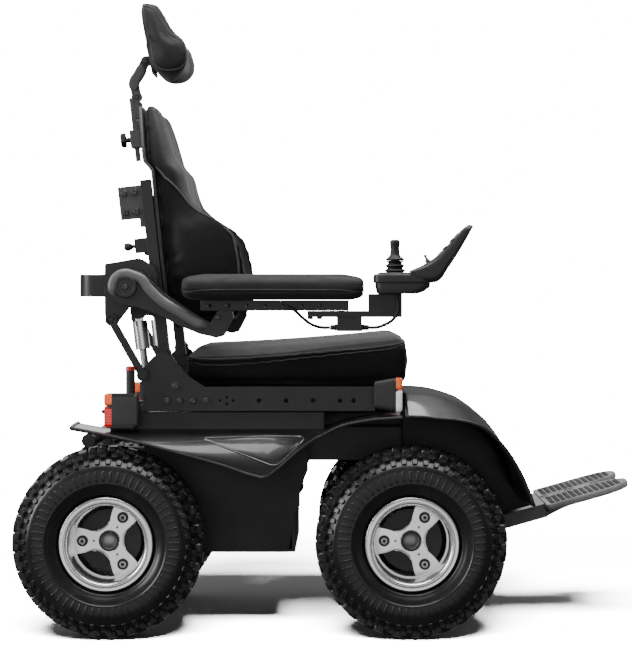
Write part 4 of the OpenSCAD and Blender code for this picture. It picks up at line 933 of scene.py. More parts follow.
@dataclass
class Stage:
    """Camera, light and a pale floor that rises behind the chair.

    Args:
        eye: Camera in millimetres.
        focal: Focal length in pixels.
        centre: Pixel that the camera points at.
        target: Point in metres that the lights face.
        flat_r: Radius of the floor's flat part.
        turn_r: Radius of its turn up into the wall.
    """

    eye: Point = (34.0, -4335.0, 623.6)
    focal: float = 2197.8
    image: Pair = (632.0, 645.0)
    centre: Pair = (345.0, 300.0)
    sensor: float = 36.0
    target: Point = (0.0, 0.0, 0.45)
    flat_r: float = 8000.0
    turn_r: float = 3000.0
    wall_h: float = 800.0
    surround: Colour = (0.97, 0.98, 1.0, 1.0)
    surround_power: float = 0.16
    lights: tuple[SoftLight, ...] = (
        SoftLight("overhead", (0.1, -0.5, 3.2), (3.0, 2.2), 170.0),
        SoftLight("rear_strip", (-3.4, -1.4, 1.5), (0.9, 2.2), 110.0),
        SoftLight("front_strip", (3.4, -1.5, 1.6), (0.9, 2.2), 8.0),
        SoftLight("front_fill", (-0.6, -5.2, 0.5), (5.0, 3.2), 46.0),
        SoftLight("far_sheet", (0.0, 3.4, 1.5), (6.0, 2.0), 60.0),
        SoftLight("floor_wash", (-0.4, -5.0, 5.0), (3.4, 2.6), 19000.0),
        SoftLight("hood_strip", (0.1, 3.0, 2.9), (1.9, 0.2), 9.5),
    )

    def camera(self) -> None:
        """A level camera on the right, shifted as the photograph is framed."""
        data = bpy.data.cameras.new("side_camera")
        long = max(self.image)
        data.sensor_width = self.sensor
        data.lens = self.focal * self.sensor / long
        data.shift_x = (self.image[0] / 2 - self.centre[0]) / long
        data.shift_y = (self.centre[1] - self.image[1] / 2) / long
        obj = bpy.data.objects.new("side_camera", data)
        obj.location = np.asarray(self.eye) * MM
        obj.rotation_euler = (np.pi / 2, 0.0, 0.0)
        bpy.context.scene.collection.objects.link(obj)
        bpy.context.scene.camera = obj

    def floor(self) -> Object:
        """A round floor that turns up in a quarter circle all round: one profile turned round Z."""
        a = np.linspace(0.0, np.pi / 2, 16)
        bend = np.stack([self.flat_r + self.turn_r * np.sin(a), self.turn_r * (1 - np.cos(a))], axis=-1)
        wall = [(self.flat_r + self.turn_r, self.turn_r + self.wall_h)]
        line = np.vstack([[(self.flat_r / 8, 0.0)], bend, wall])
        obj = Shape().grid(revolve(line, 64), start=True).build("pale_floor", 60.0)
        obj.data.materials.append(FLOOR.material())
        obj.visible_diffuse = obj.visible_glossy = False
        obj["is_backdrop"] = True
        return obj

    def lamp(self, light: SoftLight) -> Object:
        """The object of a light, which faces the middle of the chair."""
        data = bpy.data.lights.new(light.name, "AREA")
        data.shape = "RECTANGLE"
        data.size, data.size_y = light.size
        data.energy = light.power
        obj = bpy.data.objects.new(light.name, data)
        turn = (Vector(light.place) - Vector(self.target)).to_track_quat("Z", "Y")
        obj.matrix_world = Matrix.Translation(light.place) @ turn.to_matrix().to_4x4()
        obj.visible_camera = False
        bpy.context.scene.collection.objects.link(obj)
        return obj

    def group(self, name: str, members: Sequence[Object], state: str) -> bpy.types.Collection:
        """The pieces that a light reaches, or those that it leaves out."""
        group = bpy.data.collections.new(name)
        for member, obj in enumerate(members):
            group.objects.link(obj)
            group.collection_objects[member].light_linking.link_state = state
        return group

    def light(self, floor: Object, hood: Object) -> None:
        """A dim surround and the soft lights; one reaches the floor alone and one the hood alone."""
        world = bpy.data.worlds.new("soft_surround")
        world.use_nodes = True
        back = world.node_tree.nodes["Background"]
        back.inputs["Color"].default_value = self.surround
        back.inputs["Strength"].default_value = self.surround_power
        bpy.context.scene.world = world
        others = self.group("all_but_floor", [floor], "EXCLUDE")
        reach = {
            "floor_wash": self.group("floor_alone", [floor], "INCLUDE"),
            "far_sheet": self.group("all_but_floor_and_hood", [floor, hood], "EXCLUDE"),
            "hood_strip": self.group("hood_alone", [hood], "INCLUDE"),
        }
        for light in self.lights:
            self.lamp(light).light_linking.receiver_collection = reach.get(light.name, others)


# Cables


@dataclass
class Cables:
    """The two leads under the right armrest, with ribbed strain reliefs on their junction box.

    Args:
        rear: Route from the arm rail to the junction box.
        front: Route from the junction box to the pod.
        relief: Middle of the junction box at the height of the leads.
        relief_in: Where a relief starts, from that middle.
        relief_out: Where it ends.
    """

    rear: tuple = (
        (-72, -299.2, 612), (-58, -299.2, 604), (-44, -298, 591), (-26, -294, 578), (-8, -290, 573),
        (6.6, -290, 573),
    )
    front: tuple = (
        (77.4, -290, 573), (90, -290, 573), (104, -295, 577), (120, -300, 586), (130, -302, 600),
        (132, -302, 616), (130, -301, 627), (130, -301, 634.6),
    )
    radius: float = 3.0
    relief: Point = (42.2, -289.0, 573.0)
    relief_in: float = 23.0
    relief_out: float = 35.4
    relief_r: float = 6.0
    relief_taper: float = 2.0
    rib_h: float = 0.7
    ribs: int = 4

    def build(self) -> None:
        """Lays each lead as a round tube along a smooth curve."""
        for name, route in (("rear_lead", self.rear), ("front_lead", self.front)):
            path = smooth_curve(route, 40)
            grid = sweep(path, circle(self.radius, 14), (0, 1, 0.02))
            obj = closed_piece(grid, name, RUBBER, "armrest_right")
            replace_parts(obj, "control_cables")
            path[0] * MM
            path * MM
        self.reliefs()

    def reliefs(self) -> None:
        """Tapered reliefs whose radius wavers as it falls: a wave of ribs on a cone."""
        t = np.linspace(0.0, 1.0, 33)
        radius = self.relief_r - self.relief_taper * t + self.rib_h * np.cos(t * 2 * self.ribs * np.pi)
        profile = np.stack([radius, t * (self.relief_out - self.relief_in)], axis=-1)
        shape = Shape()
        for way in (-1, 1):
            origin = np.asarray(self.relief) + (way * self.relief_in, 0, 0)
            shape.solid(aim(revolve(profile, 20), (way, 0, 0), origin))
        piece(shape, "strain_reliefs", RUBBER, "armrest_right")


# Wheels


@dataclass(frozen=True)
class BlockRow:
    """A ring of tread blocks: its run from the middle of the tread and the share of a pitch it is turned by."""

    run: float
    half_round: float
    half_across: float
    height: float
    shift: float
    count: int


@dataclass
class Wheel:
    """One wheel: knobbly tyre, turned rim with three arms, bolts and cap.

    Args:
        end: Front or rear, as in the names of its nodes.
        axle_x: Place of its axle along the chair.
        power: Power of the tyre's rounded-box section.
        rows: Rings of blocks from the middle of the tread outwards.
        ring_r: Radius of the raised ring on the side walls.
        bead_ring_r: Radius of a finer ring near the bead.
        window_x: Middle of a window between two arms, from the axle.
        barrel: Radius and distance out along the rim's closed profile.
    """

    end: str
    side: Side
    axle_x: float
    axle_z: float = 177.5
    middle_y: float = 267.5
    crown_r: float = 168.5
    bead_r: float = 77.0
    half_w: float = 70.4
    power: float = 2.5
    rows: tuple[BlockRow, ...] = (
        BlockRow(13.0, 9.6, 9.0, 9.0, 0.0, 30),
        BlockRow(34.0, 9.2, 9.0, 8.6, 0.5, 30),
        BlockRow(53.0, 6.4, 7.6, 7.6, 0.0, 48),
        BlockRow(67.0, 5.4, 5.2, 3.8, 0.5, 48),
        BlockRow(94.0, 2.7, 10.0, 1.8, 0.0, 60),
    )
    ring_r: float = 112.0
    bead_ring_r: float = 93.0
    window_x: float = 66.0
    window_r: float = 38.0
    barrel_r: float = 70.5
    disc_top: float = -5.0
    disc_low: float = -17.0
    bolt_ring: float = 50.0
    drain_ring: float = 29.0
    barrel: tuple = (
        (69.0, -61), (69.6, 50), (70.4, 55), (72.4, 59.2), (75.0, 61), (77.0, 61.4), (79.0, 60.6), (82.0, 60.6),
        (84.4, 61.2), (86.0, 60), (86.4, 57.5), (86.0, 54), (77.0, 50), (76.0, -50), (85.0, -54), (86.0, -60),
        (84.0, -61),
    )

    @property
    def place(self) -> str:
        """The wheel's end and side as they stand in the nodes."""
        return f"{self.end}_{self.side.word}"

    @property
    def body(self) -> str:
        """The body that the wheel turns with."""
        return f"wheel_{self.place}"

    def to_chair(self, radius: Array, angle: Array, out: Array) -> Array:
        """Radius, angle and distance out from the wheel's middle as points of the chair."""
        x, z = self.axle_x + radius * np.cos(angle), self.axle_z + radius * np.sin(angle)
        return spread(x, self.side.value * (self.middle_y + out), z)

    def section(self, run: Array) -> tuple[Array, Array, Array, Array]:
        """The tyre's section, a rounded box, read by distance along it from the middle of the tread.

        Args:
            run: Distances, negative towards the chair.
        Returns:
            Radius, distance out, and the outward normal's share of both.
        """
        count = 600
        b = np.linspace(0.0, np.pi, count)
        mid, half = (self.crown_r + self.bead_r) / 2, (self.crown_r - self.bead_r) / 2
        r = mid + half * signed_power(np.cos(b), 2 / self.power)
        w = self.half_w * np.abs(np.sin(b)) ** (2 / self.power)
        length = np.concatenate([[0.0], np.cumsum(np.hypot(np.diff(r), np.diff(w)))])
        at, way = np.abs(run), np.where(run < 0, -1.0, 1.0)
        rising = length + np.arange(count) * 1e-9
        dr = np.interp(at, length, np.gradient(r, rising))
        dw = np.interp(at, length, np.gradient(w, rising))
        norm = np.hypot(dr, dw)
        return (np.interp(at, length, r), way * np.interp(at, length, w), dw / norm, -way * dr / norm)

    def blocks(self, shape: Shape, row: BlockRow, way: int) -> None:
        """Adds a ring of tread blocks: chamfered boxes bent onto the section.

        Args:
            shape: The tyre.
            row: The ring.
            way: 1 for the outer half of the tyre, -1 for the inner one, which is turned by half a pitch.
        """
        cut = 0.7
        corner = np.array(
            [[-1, -cut], [-cut, -1], [cut, -1], [1, -cut], [1, cut], [cut, 1], [-cut, 1], [-1, cut]]
        )
        rise = np.array([[-2.0], [0.7 * row.height], [row.height]])
        scale = np.array([[1.06], [0.95], [0.82]])
        along = scale * corner[:, 0] * row.half_round
        r, w, nr, nw = self.section(way * row.run + scale * corner[:, 1] * row.half_across)
        pitch = (np.arange(row.count) + way / 4 + row.shift)[:, None, None] * 2 * np.pi / row.count
        shape.grid(self.to_chair(r + rise * nr, pitch + along / self.crown_r, w + rise * nw), end=True)

    def tyre(self) -> None:
        """The carcass, turned from its section with rings on the side walls, and its blocks and ribs."""
        run = np.concatenate([np.linspace(-165, -60, 60), np.linspace(-59, 59, 40), np.linspace(60, 165, 60)])
        r, w, nr, nw = self.section(run)
        side_wall = np.abs(w) > 0.75 * self.half_w
        lift = smoothstep(r, self.ring_r - 1.5, self.ring_r + 1.5) * smoothstep(-r, -150.0, -142.0)
        for ring_r, height, width in ((self.ring_r, 1.1, 1.6), (self.bead_ring_r, 1.3, 2.2)):
            lift += height * np.exp(-(((r - ring_r) / width) ** 2))
        lift *= side_wall
        grid = self.to_chair((r + lift * nr)[None], turns(144)[:, None], (w + lift * nw)[None])
        shape = Shape().grid(grid, ring=False, loop=True)
        for way in (-1, 1):
            for row in self.rows:
                self.blocks(shape, row, way)
        obj = piece(shape, f"tread_{self.place}", TYRE, self.body, 40.0)
        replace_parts(obj, f"tyre_{self.place}")

    def arms(self) -> Array:
        """Rings of the three-armed disc: its reach is the near side of a round window, or the barrel."""
        count, foot_r, inset = 240, 20.0, 4.0
        a = turns(count)
        off = np.mod(a + np.pi / 3, 2 * np.pi / 3) - np.pi / 3
        depth = self.window_r**2 - (self.window_x * np.sin(off)) ** 2
        near = self.window_x * np.cos(off) - np.sqrt(np.maximum(depth, 0.0))
        reach = np.where(depth > 0, near, self.barrel_r + 1.0)
        reach = np.mean([np.roll(reach, s) for s in (-2, -1, 0, 1, 2)], axis=0)
        steps = np.array([0.0, 0.35, 0.7, 1.0])[:, None]
        top = foot_r + (reach - (foot_r + inset)) * steps
        middle, boss = np.full(count, 0.01), np.full(count, foot_r - 1.0)
        edge = [middle, boss, *top, reach - 1.2, reach, reach, reach - 2, middle]
        t, low = self.disc_top, self.disc_low
        heights = np.array([t + 2, t + 2, t, t, t, t - 0.3, t - 1.6, t - 4, low + 2, low, low])
        return self.to_chair(np.stack(edge), a, heights[:, None])

    def rim(self) -> None:
        """Barrel and rolled lip turned from one closed profile, the arms, and a ring round the windows."""
        low, top, a = self.disc_low, self.disc_top, turns(96)
        sill = np.array([(71, top), (66.6, top), (65.4, top - 1.4), (65.4, low + 1.4), (66.6, low), (71, low)])
        shape = Shape().grid(self.arms())
        for line in (np.array(self.barrel), sill):
            shape.grid(self.to_chair(line[:, :1], a, line[:, 1:]), loop=True)
        obj = piece(shape, f"turned_rim_{self.place}", ALLOY, self.body, 30.0)
        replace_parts(obj, f"rim_{self.place}")

    def trim(self) -> None:
        """Bolts with washers on the arms, drain holes as dark dimples, and a domed cap."""
        a = np.radians([60.0, 180.0, 300.0])
        axis = (0, self.side.value, 0)
        bolts, drains = (self.to_chair(r, a, self.disc_top) for r in (self.bolt_ring, self.drain_ring))
        shape = Shape().copies(screw_grid(7.0, 5.5, 10.8), bolts, axis)
        piece(shape, f"wheel_bolts_{self.place}", ZINC, self.body)
        shape = Shape().copies(revolve([(2.4, 0.0), (2.4, 0.25), (1.8, 0.3)], 12), drains, axis)
        b = np.linspace(0.0, np.pi / 2, 8)
        dome = np.stack([18.6 * np.cos(b), 5.0 + 7.0 * np.sin(b)], axis=-1)[:-1]
        dome = np.vstack([[(19.2, 0.0), (19.2, 3.5)], dome])
        shape.copies(revolve(dome, 36), self.to_chair(0.0, 0.0, self.disc_top), axis)
        piece(shape, f"wheel_cap_{self.place}", STEEL, self.body)

    def build(self) -> None:
        """Makes the whole wheel."""
        self.tyre()
        self.rim()
        self.trim()


# Body shell


@dataclass
class BodyShell:
    """Gloss fenders on both sides, the hood over the front wheels and its inner walls.

    Args:
        fender: Lip of a side fender: share of the wheelbase from the rear axle, and height.
        hood: Crown and lip of the hood: shares of the wheelbase and of the deck height.
        flat_share: Share of the hood's half width that is flat.
        fall_share: Share that falls from the crown to the lip.
        badge: Corners of the bare plate on a fender, along the chair and up.
        wall_low: Height that the arch walls' foot line falls to.
        wall_reach: How far its front end passes the hood's.
        wall_toe: How far its front end turns up again.
    """

    rear_x: float = -402.5
    wheelbase: float = 559.0
    deck: float = 415.0
    flat_z: float = 383.0
    inner_y: float = 205.0
    turn_y: float = 245.0
    lip_y: float = 321.875
    wall: float = 4.0
    bead_r: float = 3.2
    flat_share: float = 0.56
    fall_share: float = 0.44
    fender: tuple = (
        (-0.115, 0.938), (-0.02, 0.913), (0.094, 0.88), (0.24, 0.827), (0.39, 0.769), (0.487, 0.726),
        (0.51, 0.72), (0.552, 0.752), (0.602, 0.81), (0.666, 0.88), (0.713, 0.913), (0.749, 0.938),
        (0.847, 0.971), (0.968, 0.985),
    )
    hood: tuple = (
        (0.979, 1.08, 0.979, 0.987), (1.019, 1.08, 1.019, 0.988), (1.094, 1.068, 1.09, 0.979),
        (1.14, 1.05, 1.14, 0.974), (1.18, 1.03, 1.19, 0.962), (1.242, 0.974, 1.236, 0.937),
        (1.27, 0.933, 1.27, 0.9), (1.296, 0.885, 1.302, 0.852), (1.32, 0.815, 1.334, 0.79),
        (1.34, 0.745, 1.362, 0.72), (1.358, 0.67, 1.383, 0.655), (1.376, 0.6, 1.398, 0.6),
    )
    badge: tuple = ((-226.0, 369.0), (-40.0, 372.5), (-94.0, 320.0))
    wall_y: float = 121.0
    spine_z: float = 315.0
    wall_low: float = 190.0
    wall_reach: float = 30.0
    wall_toe: float = 42.0
    apron_x: tuple[float, ...] = (-20.0, 146.0)
    apron_low: float = 378.0

    def lip_z(self, x: Array) -> Array:
        """Height of the fender's lip along the chair."""
        return self.deck * read_table(self.fender, (x - self.rear_x) / self.wheelbase)

    def fender_y(self, x: Array, z: Array) -> Array:
        """Distance out of the fender's face at a place and height, from the section's own formula."""
        low = self.lip_z(x)
        top = np.maximum(self.flat_z, low + self.wall)
        c = np.clip((z - low) / (top - low), 0.0, 1.0) ** (1 / 1.5)
        return self.turn_y + (self.lip_y - self.turn_y) * np.sqrt(1.0 - c * c)

    def fender_grid(self) -> Array:
        """Fender surface on the right: flat inside, then out by a sine and down by a cosine to its power."""
        table = np.asarray(self.fender)
        x = np.linspace(table[0, 0], table[-1, 0], 120) * self.wheelbase + self.rear_x
        low = self.lip_z(x)[:, None]
        top = np.maximum(self.flat_z, low + self.wall)
        b = np.linspace(0.0, np.pi / 2, 24)
        y = np.concatenate([[self.inner_y], self.turn_y + (self.lip_y - self.turn_y) * np.sin(b)])
        z = np.concatenate([top, low + (top - low) * np.cos(b) ** 1.5], axis=1)
        return spread(x[:, None], -y, z)

    def on_fender(self, xz: Array, proud: Any) -> Array:
        """Places along the chair and up, laid on the right fender's face and proud of it by a distance."""
        x, z = xz[..., 0], xz[..., 1]
        return spread(x, -self.fender_y(x, z) - proud, z)

    def skin(self, grid: Array, name: str) -> Object:
        """A gloss sheet, turned so that most of it looks up, with its wall below."""
        obj = piece(Shape().grid(grid, ring=False), name, GLOSS, "chassis", 50.0)
        if normals(obj.data)[:, 2].sum() < 0:
            obj.data.flip_normals()
        thicken(obj, self.wall)
        return obj

    def fenders(self) -> None:
        """Both fenders with rolled lips and a bare three-cornered plate in a bright frame."""
        grid = self.fender_grid()
        edge = np.concatenate([grid[0, ::2], grid[1:, -1]])
        bead = sweep(edge, circle(self.bead_r, 10), (0.1, 0.2, 1.0))
        loop = rounded_loop(self.badge, 120, 4)
        middle = loop.mean(axis=0)
        rows = middle + (loop - middle) * np.array([1.0, 0.97, 0.9, 0.6, 0.3])[:, None, None]
        face = self.on_fender(rows, np.array([0.2, 1.0, 1.3, 1.3, 1.3])[:, None])
        rim = self.on_fender(middle + (loop - middle) * 1.05, 0.6)
        rim = sweep(rim, circle(1.3, 8), (0, -1, 0.02), True)
        for side in Side:
            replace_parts(self.skin(mirrored(grid, side), f"fender_{side.word}"), f"shroud_{side.word}")
            closed_piece(mirrored(bead, side), f"fender_lip_{side.word}", GLOSS, "chassis")
            piece(Shape().grid(mirrored(face, side), end=True), f"bare_plate_{side.word}", GLOSS, "chassis")
            piece(Shape().grid(mirrored(rim, side), loop=True), f"plate_frame_{side.word}", STEEL, "chassis")

    def hood_line(self) -> Array:
        """X and Z of the hood's crown and of its lip, smoothly along the chair."""
        table = np.asarray(self.hood) * [self.wheelbase, self.deck, self.wheelbase, self.deck]
        return smooth_curve(table + [self.rear_x, 0, self.rear_x, 0], 64)

    def hood_piece(self) -> Object:
        """Hood: along it a smooth crown and lip, across it an ease from one to the other past the flat."""
        line = self.hood_line()
        y = np.linspace(-self.lip_y, self.lip_y, 73)
        t = np.clip((np.abs(y) / self.lip_y - self.flat_share) / self.fall_share, 0.0, 1.0)
        f = np.sqrt(t * t + 0.03) - np.sqrt(0.03)
        f = (f / f.max()) ** 0.95
        xz = line[:, None, :2] + (line[:, None, 2:] - line[:, None, :2]) * f[:, None]
        grid = spread(xz[..., 0], y, xz[..., 1])
        hood = self.skin(grid, "hood")
        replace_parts(hood, "front_cover")
        edge = np.concatenate([grid[:, 0], grid[-1, 1:-1:2], grid[::-1, -1]])
        closed_piece(sweep(edge, circle(self.bead_r, 10), (0.2, 0.05, 1.0)), "hood_lip", GLOSS, "chassis")
        return hood

    def arch_walls(self) -> None:
        """Inner walls from the hood's crown to a foot line that falls by a power and turns up at its toe."""
        line = self.hood_line()
        t = np.linspace(0.0, 1.0, len(line))
        foot_x = line[0, 0] + (line[-1, 0] + self.wall_reach - line[0, 0]) * t
        toe = self.wall_toe * np.clip((t - 0.75) / 0.25, 0.0, 1.0)
        foot = np.stack([foot_x, self.spine_z + (self.wall_low - self.spine_z) * t**0.8 + toe], axis=-1)
        drop = np.linspace(0.0, 1.0, 6)[:, None]
        top = line[:, None, :2] - [self.wall, self.wall / 2]
        inner = top + (foot[:, None] - top) * drop
        bow = self.wall_y + 6.0 * np.sin(np.pi * drop[:, 0])
        for side in Side:
            sheet = Shape().grid(spread(inner[..., 0], side.value * bow, inner[..., 1]), ring=False)
            thicken(piece(sheet, f"arch_wall_{side.word}", MATTE, "chassis"), self.wall)

    def apron(self) -> None:
        """The hood's rear box under the seat: rounded-box sections from end to end."""
        half_z = (self.deck - self.apron_low) / 2
        ring = box_ring(self.wall_y - self.wall, half_z, 8.0, 48)
        grid = bar(self.apron_x, 0.0, self.apron_low + half_z, ring)
        closed_piece(grid, "hood_apron", MATTE, "chassis")

    def build(self) -> Object:
        """Makes the whole shell and gives its hood."""
        self.fenders()
        self.apron()
        hood = self.hood_piece()
        self.arch_walls()
        return hood


# Seat, back, head rest and arms


@dataclass
class SeatCushion:
    """Seat cushion with a mesh top, piped edge and a sewn line round its sides."""

    rear_x: float = -271.0
    length: float = 428.0
    half_w: float = 232.0
    base_z: float = 462.5
    rear_h: float = 62.0
    front_h: float = 91.0
    crown: float = 13.0
    end_round: float = 15.0
    edge_line: tuple = ((-271.0, 516.0), (-156.0, 519.0), (-77.0, 525.0), (-10.0, 533.0), (143.0, 550.0))
    flange_end: float = 84.0
    flange_y: float = 228.0
    flange_h: float = 42.0
    sewn_line: tuple = ((-271.0, 505.0), (-156.0, 508.0), (-50.0, 519.0), (43.0, 529.0), (153.0, 540.0))

    def grid(self) -> Array:
        """Rounded-box rows along the chair, drawn in at both ends, with a crown that fades to the sides."""
        s = eased(61)
        inward = end_draw(s, self.length, self.end_round)
        h = self.rear_h + (self.front_h - self.rear_h) * s**1.6
        p = box_ring(self.half_w - 0.6 * inward, h / 2 - 0.7 * inward, 7.0, 96)
        y, z = p[..., 0], p[..., 1]
        top = self.crown * (1 - (y / self.half_w) ** 2) * (1 - inward / self.end_round)[:, None]
        x = (self.rear_x + s * self.length)[:, None]
        return spread(x, y, self.base_z + h[:, None] / 2 + z + np.where(z > 0, top, 0.0))

    def loop(self, table: tuple) -> Array:
        """A path round the cushion at the height of a seam."""
        a = np.linspace(0.0, 2 * np.pi, 260, endpoint=False)
        x = self.rear_x + self.length * (0.5 + 0.5 * signed_power(np.cos(a), 0.22))
        y = self.half_w * signed_power(np.sin(a), 0.22)
        even = rounded_loop(np.stack([x, y], axis=-1), 360, 2)
        return np.stack([even[:, 0], even[:, 1], read_table(table, even[:, 0])], axis=-1)

    def flanges(self) -> None:
        """Turned-down sides of the pan behind the rails: thin upright sheets with rounded edges."""
        ring = box_ring(1.0, self.flange_h / 2, 8.0, 16)
        z = self.base_z - self.flange_h / 2 - 1.0
        shape = Shape()
        for side in Side:
            grid = bar((self.rear_x, self.flange_end), side.value * self.flange_y, z, ring)
            shape.solid(grid)
        piece(shape, "pan_flanges", POWDER, "seat")

    def build(self) -> None:
        """Blows the cushion up, sews its lines and pipes its edge."""
        self.flanges()
        obj = closed_piece(self.grid(), "seat_cover", FABRIC, "seat")
        Swell().apply(obj)
        p, n = coords(obj.data), normals(obj.data)
        for table, depth in ((self.edge_line, 2.0), (self.sewn_line, 2.6)):
            p -= seam_press(n, p[:, 2] - read_table(table, p[:, 0]), depth, 3.5, 1.3)
        p[:, 2] = np.maximum(p[:, 2], self.base_z)
        set_coords(obj.data, p)
        mark_panel(obj, smoothstep(p[:, 2] - read_table(self.edge_line, p[:, 0]), -1.0, 2.0))
        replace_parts(obj, "seat_cushion")
        for name, table, radius in (("seat_piping", self.edge_line, 2.3), ("seat_seam", self.sewn_line, 1.2)):
            piping(name, hug(obj, self.loop(table), 0.4), radius, CORD, "seat", True)


@dataclass
class BackCushion:
    """Deep back cushion with side wings, mesh front, plain sides and piped wing edges.

    Args:
        setback: How far the upper part of its rear face steps back.
        wing: Depth of the wings at shares of the height, as a share of the deepest.
        lumbar: Depth of the middle in the same way.
        width: Share of the half width at shares of the height.
        channels: Sewn channels, at shares of the half width.
        seam: Line of the wings' piping, along the chair and up.
        seam_off: How far outside the cushion that line is before it is laid on it.
    """

    low_z: float = 36.0
    height: float = 448.0
    pad_x: float = 18.75
    half_w: float = 205.0
    wing_d: float = 175.0
    end_round: float = 18.0
    setback: float = 14.0
    shell_t: float = 8.0
    spacer_x: Pair = (-22.0, -3.0)
    spacer_z: Pair = (404.0, 459.5)
    spacer_w: float = 19.0
    wing: tuple = (
        (0, 0.8), (0.05, 0.93), (0.13, 1), (0.22, 1), (0.35, 0.965), (0.4, 0.89), (0.49, 0.63), (0.555, 0.4),
        (0.605, 0.32), (0.68, 0.285), (0.8, 0.235), (0.91, 0.19), (1, 0.14),
    )
    lumbar: tuple = ((0, 0.28), (0.2, 0.36), (0.45, 0.32), (0.7, 0.27), (0.9, 0.19), (1, 0.14))
    width: tuple = ((0, 0.94), (0.1, 1), (0.6, 1), (0.75, 0.95), (0.88, 0.84), (1, 0.68))
    channels: tuple[float, ...] = (0.34, 0.72)
    seam: tuple = (
        (-326.8, 871.7), (-285.0, 843.0), (-247.9, 817.2), (-204.7, 787.1), (-184.0, 764.5), (-170.8, 736.4),
        (-165.0, 705.0), (-163.3, 674.3), (-164.0, 623.0), (-170.0, 585.0),
    )
    seam_off: float = 25.0

    def rear_x(self, s: Array) -> Array:
        """Rear face of the cushion, which steps back near its top."""
        return self.pad_x - self.setback * np.interp(s, (0.0, 0.688, 0.73, 1.0), (0.0, 0.0, 1.0, 1.0))

    def front(self, s: Array, v: Array) -> Array:
        """Front face: a fifth power of the way across turns the middle's depth into the wing's."""
        inward = end_draw(s, self.height, self.end_round)
        middle = self.wing_d * read_table(self.lumbar, s) - inward
        wing = self.wing_d * read_table(self.wing, s) - inward
        edge = 11.0 * np.clip((np.abs(v) - 0.9) / 0.1, 0.0, 1.0) ** 2
        return self.rear_x(s) + middle + (wing - middle) * np.abs(v) ** 5 - edge

    def half(self, s: Array) -> Array:
        """Half width, drawn in at both ends."""
        inward = end_draw(s, self.height, self.end_round)
        return self.half_w * read_table(self.width, s) - 0.8 * inward

    def grid(self) -> Array:
        """Rings up the back: across the front face, then back along the rear one."""
        s, v = eased(81)[:, None], cross_shares(49)
        rear = self.rear_x(s) + 0.4 * end_draw(s, self.height, self.end_round)
        front = np.maximum(self.front(s, v), rear + 1.0)
        y = self.half(s) * signed_power(v, 0.8)
        z = self.low_z + self.height * s
        face, back = spread(front, y, z), spread(rear, y, z)[:, ::-1]
        return BACK_LEAN.place(np.concatenate([face, back], axis=1))

    def shell(self) -> None:
        """The shell behind the cushion: a thin slab along its rear face, and a block to the head clamp."""
        s = np.linspace(0.07, 0.97, 60)
        width = self.half_w * read_table(self.width, s) - self.shell_t / 4
        ring = box_ring(width, self.shell_t / 2, 9.0, 64)
        x = (self.rear_x(s) - self.shell_t / 2 - 0.4)[:, None] + ring[..., 1]
        grid = spread(x, ring[..., 0], (self.low_z + self.height * s)[:, None])
        shape = Shape().solid(BACK_LEAN.place(grid))
        low, high = self.spacer_z
        ring = box_ring(self.spacer_w, (high - low) / 2, 8.0, 24)
        grid = bar(self.spacer_x, 0.0, (low + high) / 2, ring)
        shape.solid(BACK_LEAN.place(grid))
        obj = piece(shape, "back_skin", LAMP, "backrest")
        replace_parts(obj, "back_shell")

    def build(self) -> None:
        """Blows the cushion up, sews channels down its front and pipes the wings."""
        self.shell()
        obj = closed_piece(self.grid(), "back_cover", FABRIC, "backrest")
        Swell().apply(obj)
        p = BACK_LEAN.read(coords(obj.data))
        n = BACK_LEAN.turn(normals(obj.data), -1)
        s = (p[:, 2] - self.low_z) / self.height
        across = np.abs(p[:, 1]) / self.half(np.clip(s, 0.0, 1.0))
        facing = smoothstep(n[:, 0], 0.05, 0.4)
        for share in self.channels:
            groove = np.exp(-(((across - share) * self.half_w / 4.0) ** 2)) * facing * smoothstep(s, 0.06, 0.12)
            p[:, 0] -= 3.2 * groove * smoothstep(-s, -0.95, -0.9)
        p[:, 0] = np.maximum(p[:, 0], self.rear_x(s))
        set_coords(obj.data, BACK_LEAN.place(p))
        mark_panel(obj, facing * smoothstep(-across, -0.97, -0.9))
        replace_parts(obj, "back_pad")
        line = smooth_curve(self.seam, 120)
        for side in Side:
            path = spread(line[:, 0], side.value * (self.half_w + self.seam_off), line[:, 1])
            path = smooth_curve(hug(obj, path, 0.5)[::4], len(line))
            piping(f"wing_piping_{side.word}", path, 2.2, CORD, "backrest", False)


